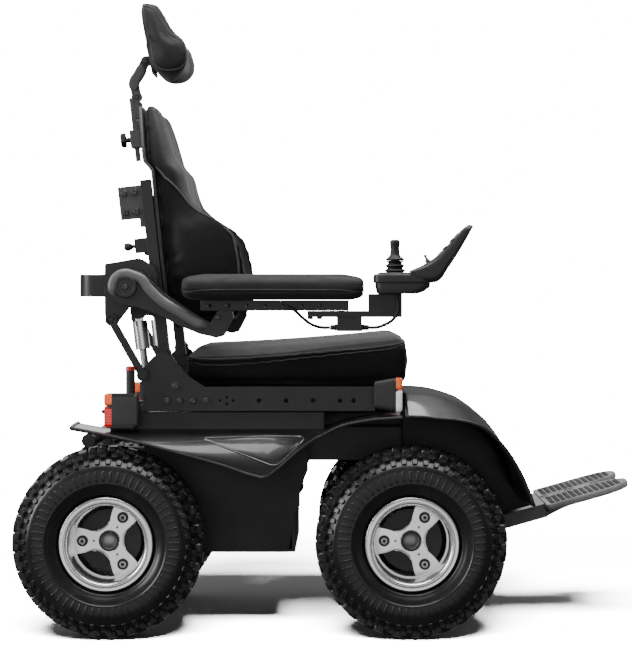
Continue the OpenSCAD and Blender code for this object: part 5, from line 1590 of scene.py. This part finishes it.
@dataclass
class HeadRest:
    """Head rest pad: a wedge above a front roll, hollowed for the head, with piped sides.

    Args:
        place: Rear and low corner of its outline in the leaning frame.
        middle: Point that the outline shrinks towards near both ends.
        outline: The outline as shares of the size.
        shrink: Size of the outline at shares of the half width.
    """

    place: Pair = (16.0, 524.0)
    size: Pair = (96.0, 162.0)
    half_w: float = 120.0
    hollow: float = 16.0
    middle: Pair = (0.35, 0.45)
    outline: tuple = (
        (0.045, 1), (0, 0.985), (0.02, 0.7), (0.07, 0.37), (0.12, 0.13), (0.22, 0.05), (0.38, 0.012), (0.6, 0),
        (0.77, 0.012), (0.92, 0.075), (0.995, 0.2), (0.955, 0.32), (0.86, 0.43), (0.7, 0.52), (0.5, 0.7),
        (0.3, 0.92),
    )
    arm_line: tuple = ((-17.5, 518.0), (-19.0, 530.0), (-6.0, 549.0), (3.0, 563.0))
    stem_line: tuple = ((-17.0, 496.0), (-18.5, 484.0), (-19.0, 471.0), (-19.5, 460.0))
    shrink: tuple = ((0, 1), (0.35, 1), (0.65, 0.98), (0.85, 0.93), (0.94, 0.86), (0.985, 0.74), (1, 0.62))

    def ring(self, v: Array) -> Array:
        """Outlines across the pad: drawn towards their middle near the ends, and hollowed in front."""
        s = rounded_loop(self.outline, 72, 1)
        table = np.asarray(self.shrink, float)
        k = np.interp(np.abs(v), table[:, 0], table[:, 1])[:, None, None]
        q = np.asarray(self.middle) + (s - np.asarray(self.middle)) * k
        dip = self.hollow * (1 - v[:, None] ** 2) * s[:, 0] * smoothstep(s[:, 0], 0.35, 0.55)
        x = self.place[0] + self.size[0] * q[..., 0] - dip
        z = self.place[1] + self.size[1] * q[..., 1]
        return BACK_LEAN.place(spread(x, -v[:, None] * self.half_w, z))

    def cheek(self, name: str, body: str, table: tuple, half: float, thick: float) -> None:
        """A broad cover on the arm or the stem: rounded-box sections along its line, thinned at both ends.

        Args:
            name: Name of the piece.
            body: The body that carries it.
            table: Points of its middle line in the leaning frame.
            half: Half of its breadth.
            thick: Its thickness across the chair.
        """
        count = 40
        line = smooth_curve(table, count)
        path = spread(line[:, 0], 0.0, line[:, 1])
        t = np.linspace(0.0, 1.0, count)
        end = np.sqrt(np.clip(np.minimum(t, 1 - t) / 0.12, 0.1, 1.0))
        ring = box_ring(half * end, thick / 2, 5.0, 24)
        grid = BACK_LEAN.place(sweep(path, ring, (0, 1, 0)))
        closed_piece(grid, name, LEVER, body)

    def build(self) -> None:
        """Blows the pad up, pipes both sides and covers the arm and the stem."""
        self.cheek("head_arm_cheek", "head_arm", self.arm_line, 10.8, 17.0)
        self.cheek("head_stem_cheek", "head_stem", self.stem_line, 11.0, 25.0)
        v = cross_shares(45)
        obj = closed_piece(self.ring(v), "head_cover", VINYL, "head_pad")
        Swell(voxel=4.5, limit=5.0, start=2.5).apply(obj)
        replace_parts(obj, "headrest_pad")
        for side in Side:
            path = hug(obj, self.ring(np.array([-0.93 * side.value]))[0], 0.3)
            even = rounded_loop(path, 140, 2)
            grid = sweep(even, circle(1.8, 8), (0.0, 1.0, 0.03), True)
            piece(Shape().grid(grid, loop=True), f"head_piping_{side.word}", CORD, "head_pad")


@dataclass
class Armrest:
    """One armrest: vinyl pad with a sewn line, a rounded band on its lever, painted lighter as a highlight, and
    a cap on its hub.
    """

    side: Side
    rear_x: float = -270.0
    length: float = 343.0
    arm_y: float = 284.0
    half_w: float = 45.0
    half_h: float = 23.0
    base_z: float = 623.5
    end_round: float = 18.0
    seam_z: float = 639.0
    hub: Pair = (-369.0, 648.0)
    face_y: float = 298.0
    rail_y: float = 296.0
    band_r: float = 24.0
    band_line: tuple = ((-341, 662), (-327, 645), (-303, 622), (-267, 600), (-238, 582.5), (-219, 573))

    @property
    def body(self) -> str:
        """The body of this armrest."""
        return f"armrest_{self.side.word}"

    def pad(self) -> None:
        """Rounded-box rows along the arm, blown up, with a sewn line round the sides."""
        s = eased(49)
        inward = end_draw(s, self.length, self.end_round)
        p = box_ring(self.half_w - 0.8 * inward, self.half_h - 0.6 * inward, 3.6, 48)
        x = (self.rear_x + s * self.length)[:, None]
        y = self.side.value * self.arm_y + p[..., 0]
        grid = spread(x, y, self.base_z + self.half_h + p[..., 1])
        obj = closed_piece(grid, f"arm_cover_{self.side.word}", VINYL, self.body)
        Swell(voxel=4.5, limit=5.0, start=3.0).apply(obj)
        q, n = coords(obj.data), normals(obj.data)
        q -= seam_press(n, q[:, 2] - self.seam_z, 1.8, 2.6, 1.2)
        q[:, 2] = np.maximum(q[:, 2], self.base_z)
        set_coords(obj.data, q)
        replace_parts(obj, f"arm_pad_{self.side.word}")
        a = np.linspace(0.0, 2 * np.pi, 200, endpoint=False)
        x = self.rear_x + self.length * (0.5 + 0.5 * signed_power(np.cos(a), 0.25))
        y = self.side.value * self.arm_y + self.half_w * signed_power(np.sin(a), 0.5)
        path = rounded_loop(hug(obj, spread(x, y, self.seam_z), 0.1), 240, 1)
        piping(f"arm_seam_{self.side.word}", path, 1.1, CORD, self.body, True)

    def band(self) -> None:
        """A half-round band along the top of the lever, round the hub first and thin at both ends, painted
        lighter as a highlight where light falls on the lever's top.
        """
        count, around = 90, np.radians(np.linspace(225.0, 62.0, 9))
        hub = np.stack([np.cos(around), np.sin(around)], axis=-1)
        hub = np.asarray(self.hub) + self.band_r * hub
        flat = smooth_curve(np.vstack([hub, self.band_line]), count)
        path = spread(flat[:, 0], -self.face_y, flat[:, 1])
        b = np.linspace(0.0, np.pi, 13)
        t = np.linspace(0.0, 1.0, count)
        thin = np.sqrt(np.clip(np.minimum(t, 1 - t) / 0.06, 0.02, 1.0))[:, None]
        profile = np.stack([9.5 * thin * np.cos(b), 6.5 * thin * np.sin(b) - 0.8], axis=-1)
        grid = mirrored(sweep(path, profile, (0, -1, 0)), self.side)
        shape = Shape().solid(grid)
        # The band's pale finish is a painted highlight.
        piece(shape, f"lever_band_{self.side.word}", LEVER_HIGHLIGHT_BAND, self.body, 50.0)

    def fittings(self) -> None:
        """Hub cap with its screw, and screws on the lever and the rail."""
        y = self.side.value * (self.face_y + 3.6)
        axis = (0, self.side.value, 0)
        cap = revolve([(21.0, -3.0), (21.0, 1.2), (19.6, 2.6), (15.0, 3.0), (14.4, 2.4), (9.5, 2.4)], 40)
        place = (self.hub[0], y, self.hub[1])
        piece(Shape().copies(cap, place, axis), f"hub_cap_{self.side.word}", POWDER, "arm_carrier")
        top = (self.hub[0], y + self.side.value * 2.4, self.hub[1])
        shape = Shape().copies(screw_grid(5.2, 3.0), top, axis)
        piece(shape, f"hub_screw_{self.side.word}", BOLT, "arm_carrier")
        face, rail = self.side.value * self.face_y, self.side.value * self.rail_y
        places = [(-219, face, 613), (-184, rail, 613.5), (-200, face, 592)]
        shape = Shape().copies(screw_grid(3.8, 2.6), places, axis)
        piece(shape, f"rail_screws_{self.side.word}", BOLT, self.body)

    def build(self) -> None:
        """Makes the whole armrest."""
        self.pad()
        self.band()
        self.fittings()


# Joystick pod


@dataclass
class ControlPod:
    """Moulded joystick pod on the right armrest: tub, lid, rising panel, keys, stick and bellows.

    Args:
        toggle_lean: How far the toggle leans back, in degrees.
        key_axis: Direction that the push buttons face.
        under: Under side of the rising panel, along the chair and up.
        over: Its upper side.
        key_rows: Rows of fixed keys, at shares of the panel.
        key_columns: Their places across it.
    """

    body: str = "armrest_right"
    arm_y: float = -284.0
    half_w: float = 41.0
    stick: Point = (126.0, -284.0, 655.0)
    toggle: Point = (186.2, -284.0, 695.2)
    toggle_lean: float = 25.0
    key_axis: Point = (-0.731354, 0.0, 0.681998)
    key_rows: tuple[float, ...] = (0.56, 0.7)
    key_columns: tuple[float, ...] = (-28.0, -14.0, 14.0, 28.0)
    under: tuple = ((154, 667), (180, 657), (203, 657), (226, 686), (256, 734), (270, 759.5))
    over: tuple = ((154, 678), (176, 687.5), (202.5, 704.5), (226.6, 728.5), (245.6, 749.5), (260.5, 762))

    def levels(self, table: Any, power: float) -> Array:
        """Rounded-box outlines stacked up: front and rear ends, half width and height of each."""
        t = np.asarray(table, float)
        ring = box_ring((t[:, 1] - t[:, 0]) / 2, t[:, 2], power, 64)
        x = ring[..., 0] + (t[:, 0] + t[:, 1])[:, None] / 2
        z = np.broadcast_to(t[:, 3:], x.shape)
        return np.stack([x, ring[..., 1] + self.arm_y, z], axis=-1)

    def case(self) -> None:
        """Tub and lid as stacked outlines, with a raised collar round the stick."""
        tub = [(96, 166, 35, 635), (93, 171, 37.5, 636), (91.5, 180, 38.5, 640), (90, 190, 39, 647),
               (89.5, 191, 39, 656)]
        lid = [(88, 191, 39.5, 655.5), (86.2, 192, 40.8, 656.5), (86, 192, 41, 664), (86.4, 188, 40.6, 668.5),
               (88, 183, 39, 670.8), (94, 178, 34, 671.4)]
        shape = Shape().solid(self.levels(tub, 6.0))
        shape.solid(self.levels(lid, 6.0))
        collar = revolve([(33, 670.5), (32, 673), (30, 674.2), (27, 674.2), (26, 672)], 40)
        shape.grid(collar + np.array([self.stick[0], self.arm_y, 0.0]))
        obj = piece(shape, "pod_case", PLASTIC, self.body, 32.0)
        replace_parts(obj, "pod_body")

    def panel_grid(self) -> Array:
        """Rounded-box sections carried from the lid up to the tip, between an under and an upper curve."""
        count = 48
        low, top = smooth_curve(self.under, count), smooth_curve(self.over, count)
        mid, half = (low + top) / 2, (top - low) / 2
        end = np.sin(np.clip((1 - np.linspace(0, 1, count)) / 0.08, 0, 1) * np.pi / 2) * 0.25 + 0.75
        ring = box_ring(1.0, 1.0, 5.0, 48)
        xz = mid[:, None] + half[:, None] * ring[..., 1:]
        return spread(xz[..., 0], self.arm_y + ring[..., 0] * self.half_w * end[:, None], xz[..., 1])

    def on_panel(self, share: Array, across: Array, proud: Array) -> Array:
        """Points on the upper face of the panel, at shares along it."""
        i = np.arange(160)
        top = smooth_curve(self.over, len(i))
        t = np.gradient(top, axis=0)
        t /= np.linalg.norm(t, axis=1, keepdims=True)
        at = np.clip(share, 0, 1) * i[-1]
        x, z = np.interp(at, i, top[:, 0]), np.interp(at, i, top[:, 1])
        nx, nz = np.interp(at, i, -t[:, 1]), np.interp(at, i, t[:, 0])
        return spread(x + nx * proud, self.arm_y + across, z + nz * proud)

    def slab(self, middle: float, half_l: float, across: float, half_w: float, height: float) -> Array:
        """A rounded key or window on the panel: stacked rounded-box outlines that follow its curve."""
        ring = box_ring(1.0, 1.0, 5.0, 32)
        scale = np.array([1.0, 1.0, 0.94, 0.8])[:, None]
        rise = np.array([-1.0, 0.6 * height, 0.92 * height, height])[:, None]
        share = middle + ring[..., 1] * half_l * scale
        return self.on_panel(share, across + ring[..., 0] * half_w * scale, rise)

    def panel(self) -> None:
        """The rising panel with a dark window and two rows of fixed keys."""
        obj = closed_piece(self.panel_grid(), "pod_face", PLASTIC, self.body)
        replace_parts(obj, "pod_panel")
        window = Shape().grid(self.slab(0.91, 0.05, 0.0, 30.0, 0.8), end=True)
        piece(window, "pod_window", GLASS, self.body)
        keys = Shape()
        for share in self.key_rows:
            for across in self.key_columns:
                keys.grid(self.slab(share, 0.035, across, 5.2, 2.0), end=True)
        piece(keys, "pod_keys", KEYS, self.body)

    def buttons(self) -> None:
        """Domed push buttons and the toggle's paddle, each on its own body."""
        dome = revolve([(6.9, -4.0), (6.9, 1.6), (6.4, 2.6), (5.0, 3.1), (2.5, 3.3)], 32)
        for node, body in (("power_button", "power_key"), ("horn_button", "horn_key")):
            low, high = node_box(node)
            base = (low + high) / 2 - np.asarray(self.key_axis) * 0.5
            obj = piece(Shape().copies(dome, base, self.key_axis), f"{node}_cap", KEYS, body)
            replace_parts(obj, node)
        lean = np.radians(self.toggle_lean)
        profile = [(0.1, -5), (3.5, -3.6), (5, 0), (3.6, 3.4), (2.4, 6), (2.4, 9), (3.2, 11.5), (2.6, 13)]
        lever = revolve([*profile, (0.1, 13.4)], 20)
        shape = Shape().copies(lever, self.toggle, np.array([-np.sin(lean), 0.0, np.cos(lean)]))
        obj = piece(shape, "toggle_lever", KEYS, "toggle")
        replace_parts(obj, "speed_toggle")

    def joystick(self) -> None:
        """Stick with a flared skirt turned from one profile, over bellows with three folds."""
        knob = [
            (4.2, -4), (4.4, 36), (6, 40.5), (17.2, 42), (18, 43), (17.4, 44.6), (13.5, 47), (10.5, 50),
            (9, 54), (8.4, 59), (8.3, 64), (8.8, 69), (9.4, 73), (9.3, 76), (8.2, 78.6), (5, 79.9), (0.1, 80.2),
        ]
        grid = revolve(smooth_curve(knob, 70), 40) + np.asarray(self.stick)
        obj = piece(Shape().grid(grid, start=True), "stick_grip", RUBBER, "joystick")
        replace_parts(obj, "joystick_stick")
        t = np.linspace(0.0, 1.0, 73)
        radius = 18.4 - 4.0 * t + 2.4 * np.cos(t * 6 * np.pi)
        outer = np.stack([radius, 14.0 + 26.5 * t], axis=-1)
        boot = np.vstack([outer, [(4.6, 40.4)]])
        grid = revolve(boot, 40) + np.asarray(self.stick)
        obj = piece(Shape().grid(grid), "stick_bellows", RUBBER, "joystick", 70.0)
        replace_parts(obj, "joystick_boot")

    def build(self) -> None:
        """Makes the whole pod."""
        self.case()
        self.panel()
        self.buttons()
        self.joystick()


# Foot rest, lamps and fasteners


@dataclass
class FootPlate:
    """One foot plate: a round-nosed slab with a dashed tread and two hinge eyes.

    Args:
        nose: Radius of its front corners.
        eyes: Where the hinge eyes start along the plate.
    """

    side: Side
    length: float = 166.0
    inner_y: float = 21.0
    outer_y: float = 165.0
    nose: float = 62.0
    thick: float = 12.0
    hinge_y: float = 12.0
    eyes: tuple[float, ...] = (16.5, 68.5)
    eye_l: float = 35.0

    def put(self, grid: Array) -> Array:
        """A grid of the sloping frame, on the plate's own side."""
        return mirrored(FOOT_SLOPE.place(grid), self.side)

    def outline(self) -> Array:
        """Edge of the plate from above: straight at the root, with two round corners at the nose."""
        a = np.radians(np.linspace(0.0, 90.0, 24))
        x = self.length - self.nose
        far = [(x + self.nose * np.sin(a)), self.outer_y - self.nose + self.nose * np.cos(a)]
        near = [(x + self.nose * np.cos(a)), self.inner_y + self.nose - self.nose * np.sin(a)]
        loop = np.concatenate([np.stack(far, axis=-1), np.stack(near, axis=-1)])
        loop = np.vstack([[(0.0, self.inner_y), (0.0, self.outer_y)], loop])
        return rounded_loop(loop, 160, 2)

    def slab(self) -> Array:
        """Outlines stacked from the under side to the top, inset at both edges for a rounded rim."""
        loop = self.outline()
        t = np.roll(loop, -1, axis=0) - np.roll(loop, 1, axis=0)
        inward = np.stack([t[:, 1], -t[:, 0]], axis=-1) / np.linalg.norm(t, axis=1, keepdims=True)
        centre = loop.mean(axis=0)
        inward *= np.sign(np.sum((centre - loop) * inward, axis=1))[:, None]
        levels = np.array([
            (9.0, -12.0), (3.0, -11.4), (0.6, -9.0), (0.0, -6.0), (0.0, -1.0), (0.8, 0.9), (2.2, 1.5),
            (4.5, 1.2), (6.0, 0.0), (14.0, -0.2),
        ])
        flat = loop + inward * levels[:, :1, None]
        return spread(flat[..., 0], -flat[..., 1], levels[:, 1:])

    def dashes(self) -> Array:
        """Short raised dashes in leaning columns, each a chamfered box."""
        gx, gy = np.meshgrid(np.arange(14.0, 158.0, 11.0), np.arange(34.0, 156.0, 12.0), indexing="ij")
        lean = np.where((np.arange(gy.shape[1]) % 2) == 0, 0.6, -0.6) + 0 * gx
        middle, half = (self.inner_y + self.outer_y) / 2, (self.outer_y - self.inner_y) / 2
        ahead = np.maximum(gx - (self.length - self.nose), 0.0)
        aside = np.maximum(np.abs(gy - middle) - (half - self.nose), 0.0)
        reach = np.hypot(ahead, aside)
        keep = reach < self.nose - 11.0
        x, y, a = gx[keep][:, None, None], gy[keep][:, None, None], lean[keep][:, None, None]
        corner = np.array([[-4.5, -1.6], [4.5, -1.6], [4.5, 1.6], [-4.5, 1.6]])
        scale, rise = np.array([[1.0], [0.95], [0.78]]), np.array([[-0.6], [1.1], [1.7]])
        u, w = corner[:, 0] * scale, corner[:, 1] * scale
        px = x + u * np.cos(a) - w * np.sin(a)
        py = y + u * np.sin(a) + w * np.cos(a)
        return spread(px, -py, rise)

    def build(self) -> None:
        """Makes the slab with its tread, and the eyes that turn on the hinge pin."""
        body, length = f"foot_{self.side.word}", self.eye_l
        shape = Shape().solid(self.put(self.slab()))
        tread = Shape().grid(self.put(self.dashes()), end=True)
        piece(tread, f"foot_tread_{self.side.word}", DASH, body, 40.0)
        eye = revolve([(3.6, 0), (7.4, 0), (8, 0.6), (8, length - 0.6), (7.4, length), (3.6, length)], 28)
        inset = np.array([0.85, 1.0, 1.0, 0.85])[:, None, None]
        web = box_ring(5.5, 5.8, 6.0, 16) * inset
        for start in self.eyes:
            shape.grid(self.put(aim(eye, (1, 0, 0), (start, -self.hinge_y, -self.thick / 2))), loop=True)
            x = (start, start + 0.8, start + length - 0.8, start + length)
            shape.solid(self.put(bar(x, -19.0, -6.0, web)))
        obj = piece(shape, f"foot_mat_{self.side.word}", TREAD, body, 40.0)
        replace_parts(obj, f"footplate_{self.side.word}")


@dataclass
class BeamToe:
    """A tapered toe that carries the foot rest's beam on under the plates.

    Args:
        rows: Places along the slope and the height of the under side there.
    """

    half_w: float = 118.0
    rows: tuple = ((-3.0, -25.6), (0.0, -25.6), (30.0, -19.4), (62.0, -14.6), (64.0, -14.2))
    top: float = -13.0

    def build(self) -> None:
        """Rounded-box sections between a flat top and a rising under side."""
        rows = np.asarray(self.rows)
        half = (self.top - rows[:, 1]) / 2
        grid = bar(rows[:, 0], 0.0, self.top - half, box_ring(self.half_w, half, 8.0, 48))
        closed_piece(FOOT_SLOPE.place(grid), "beam_toe", LEVER, "chassis")


@dataclass
class Lamps:
    """Rounded housings and lenses on the four lamps, and the red-capped post on the right rear one.

    Args:
        split: Height of a lens's amber part.
        wrap: How far a lens reaches back round its housing.
        front: Sections of a front housing: place along the chair, half height and half width.
        front_mid: Its middle, out from the chair's and up.
    """

    split: float = 22.0
    wrap: float = 6.0
    lens_w: float = 32.0
    lens_h: float = 63.0
    front: tuple = (
        (88.0, 20.0, 13.0), (89.5, 24.5, 15.5), (100.0, 26.5, 16.0), (120.0, 30.0, 16.0), (130.0, 31.6, 16.0),
        (132.0, 30.6, 15.4),
    )
    front_mid: Pair = (274.0, 448.5)
    rear: tuple = (
        (-347.0, 28.0, 14.0), (-349.0, 31.0, 16.4), (-360.0, 32.2, 16.6), (-400.0, 32.2, 16.6),
        (-402.0, 31.5, 16.0),
    )
    rear_mid: Pair = (278.0, 419.5)
    post: Point = (-361.9, -279.0, 500.6)

    def shells(self) -> None:
        """Lamp housings: rounded-box sections that widen towards the lens."""
        sets = (("front", "seat", self.front, self.front_mid), ("rear", "chassis", self.rear, self.rear_mid))
        for end, body, table, (mid_y, mid_z) in sets:
            rows = np.asarray(table)
            ring = box_ring(rows[:, 2], rows[:, 1], 7.0, 40)
            shape = Shape()
            for side in Side:
                shape.solid(bar(rows[:, 0], side.value * mid_y, mid_z, ring))
            obj = piece(shape, f"{end}_lamp_shells", LAMP, body)
            if end == "front":
                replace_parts(obj, "front_lamp_housings")

    def lens(self, node: str, way: int, side: Side, share: Pair) -> Array:
        """Rounded-box outlines that shrink to a bulged face, over a share of the lens's height."""
        low, high = node_box(node)
        depth = high[0] - low[0] + self.wrap
        inner = max(abs(low[1]), abs(high[1])) - self.lens_w
        z0, z1 = (low[2] + part * (high[2] - low[2]) for part in share)
        scale = np.array([1.0, 1.0, 0.95, 0.82, 0.5])
        out = np.array([0.0, 0.45, 0.8, 0.95, 1.0]) * depth
        ring = box_ring((self.lens_w / 2 + 1.0) * scale, ((z1 - z0) / 2 + 0.6) * scale, 6.0, 40)
        base = (high[0] if way < 0 else low[0]) - way * self.wrap
        return bar(base + way * out, side.value * (inner + self.lens_w / 2), (z0 + z1) / 2, ring)

    def build(self) -> None:
        """Makes the shells, lenses with an amber top, and the cap of the post."""
        self.shells()
        sets = (("rear_lamp_lenses", -1, "chassis", RED_LENS), ("front_lamp_lenses", 1, "seat", CLEAR_LENS))
        cut = 1.0 - self.split / self.lens_h
        for node, way, body, finish in sets:
            for name, share, tint in (("lower", (0.0, cut), finish), ("upper", (cut, 1.0), AMBER_LENS)):
                shape = Shape()
                for side in Side:
                    shape.solid(self.lens(node, way, side, share))
                obj = piece(shape, f"{node}_{name}", tint, body)
                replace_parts(obj, node)
        cap = revolve([(8.9, -7.6), (8.9, -1.5), (8.2, 0.2), (6.0, 1.0)], 28)
        piece(Shape().copies(cap, self.post, (0, 0, 1)), "post_cap", RED_CAP, "chassis")


@dataclass
class Fasteners:
    """Screws with washers on the seat plates, the canes' brackets and the head rest's arm.

    Args:
        plate: Screws of a seat plate, along the chair and up.
        rail: Screws in a rail's inserts.
        arm_pins: Pins of the head rest's stem and pad in the leaning frame.
    """

    rail_y: float = 258.0
    plate: tuple = ((-340.6, 484.4), (-280.0, 464.0), (-345.0, 425.0))
    rail: tuple = ((-296.0, 437.0), (-272.0, 437.0), (-248.0, 437.0), (-224.0, 437.0))
    bracket_x: tuple[float, ...] = (-43.0, -23.2)
    bracket_y: float = 204.0
    bracket_z: tuple[float, ...] = (268.4, 305.6)
    arm_pins: tuple = ((-16.0, 504.0), (8.8, 572.0))
    clamp: Point = (-37.0, 0.0, 421.0)
    plunger: Point = (-33.0, 204.5, 204.5)

    def knobs(self) -> None:
        """The head clamp's star knob and the round pulls of the plungers, each turned from one profile."""
        sides, points = 28, 7
        star = [(5.0, 0.0), (5.0, 9.0), (13.2, 9.5), (14.0, 11.0), (14.0, 18.5), (12.5, 20.0), (5.0, 20.6)]
        star = revolve(star, sides)
        star[2:6, :, :2] *= (1.0 + 0.06 * np.cos(points * turns(sides)))[:, None]
        ball = [(3.6, -1.0), (3.6, 5.0), (5.6, 7.4), (7.4, 11.0), (7.8, 14.5), (6.6, 18.5), (3.6, 21.0)]
        ball = revolve(ball, 24)
        back = BACK_LEAN.turn(np.array([-1.0, 0.0, 0.0]))
        shape = Shape().copies(star, BACK_LEAN.place(np.asarray(self.clamp)), back)
        for side in Side:
            place = np.asarray(self.plunger) * [1.0, side.value, 1.0]
            shape.copies(ball, BACK_LEAN.place(place), back)
        piece(shape, "back_knobs", RUBBER, "backrest")

    def build(self) -> None:
        """Places the knobs, and the screws on both sides."""
        self.knobs()
        seat, rail, brackets = Shape(), Shape(), Shape()
        for side in Side:
            axis = (0, side.value, 0)
            out = [(x, side.value * self.rail_y, z) for x, z in self.plate]
            seat.copies(screw_grid(5.6, 3.6, 7.6), out, axis)
            out = [(x, side.value * (self.rail_y + 2.0), z) for x, z in self.rail]
            rail.copies(screw_grid(5.0, 2.4), out, axis)
            out = side.value * self.bracket_y
            flat = np.array([(x, out, z) for x in self.bracket_x for z in self.bracket_z])
            brackets.copies(screw_grid(5.6, 4.0, 7.4), BACK_LEAN.place(flat), axis)
        piece(seat, "seat_plate_screws", BOLT, "seat")
        piece(rail, "rail_insert_screws", BOLT, "seat")
        piece(brackets, "cane_bracket_screws", BOLT, "backrest")
        for name, (x, z), half in zip(("stem", "pad"), self.arm_pins, (13.0, 10.5)):
            shape = Shape()
            for side in Side:
                place = BACK_LEAN.place(np.array([x, side.value * half, z]))
                shape.copies(screw_grid(5.4, 3.0), place, (0, side.value, 0))
            piece(shape, f"head_{name}_screws", BOLT, f"head_{name}")


# Every other node that shows is powder coated.
NODE_FINISHES: dict[str, Finish] = {
    "batteries": BATTERY, "side_panels": MATTE, "rear_lamp_housings": MATTE, "footrest_beam": LEVER,
    "rail_bolts": BOLT, "back_brackets": LEVER, "actuator_tubes": ALLOY, "actuator_rods": ZINC,
    "junction_box": PLASTIC, "joystick_gimbal": ZINC, "headrest_stem": LEVER, "headrest_arm": LEVER,
}


def dress_nodes() -> None:
    """Gives every node that still shows its finish."""
    for name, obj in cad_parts.items():
        if obj.hide_render:
            continue
        finish = NODE_FINISHES.get(name, POWDER)
        for slot in obj.material_slots:
            slot.material = finish.material()
        LOG.info("%s dressed in %s", name, finish.name)


def corners() -> list[list[float]]:
    """The shown object's lowest and highest corners as plain lists."""
    return [[float(value) for value in corner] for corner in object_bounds()]


def main() -> None:
    """Builds the classes in order."""
    logging.basicConfig(level=logging.INFO, format="%(message)s")
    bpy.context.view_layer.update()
    stage = Stage()
    stage.camera()
    Cables().build()
    floor = stage.floor()
    for end, axle_x in (("rear", -402.5), ("front", 156.5)):
        for side in Side:
            Wheel(end, side, axle_x).build()
    stage.light(floor, BodyShell().build())
    SeatCushion().build()
    BackCushion().build()
    HeadRest().build()
    for side in Side:
        Armrest(side).build()
        FootPlate(side).build()
    BeamToe().build()
    ControlPod().build()
    Lamps().build()
    Fasteners().build()
    dress_nodes()


if __name__ == "__main__":
    main()
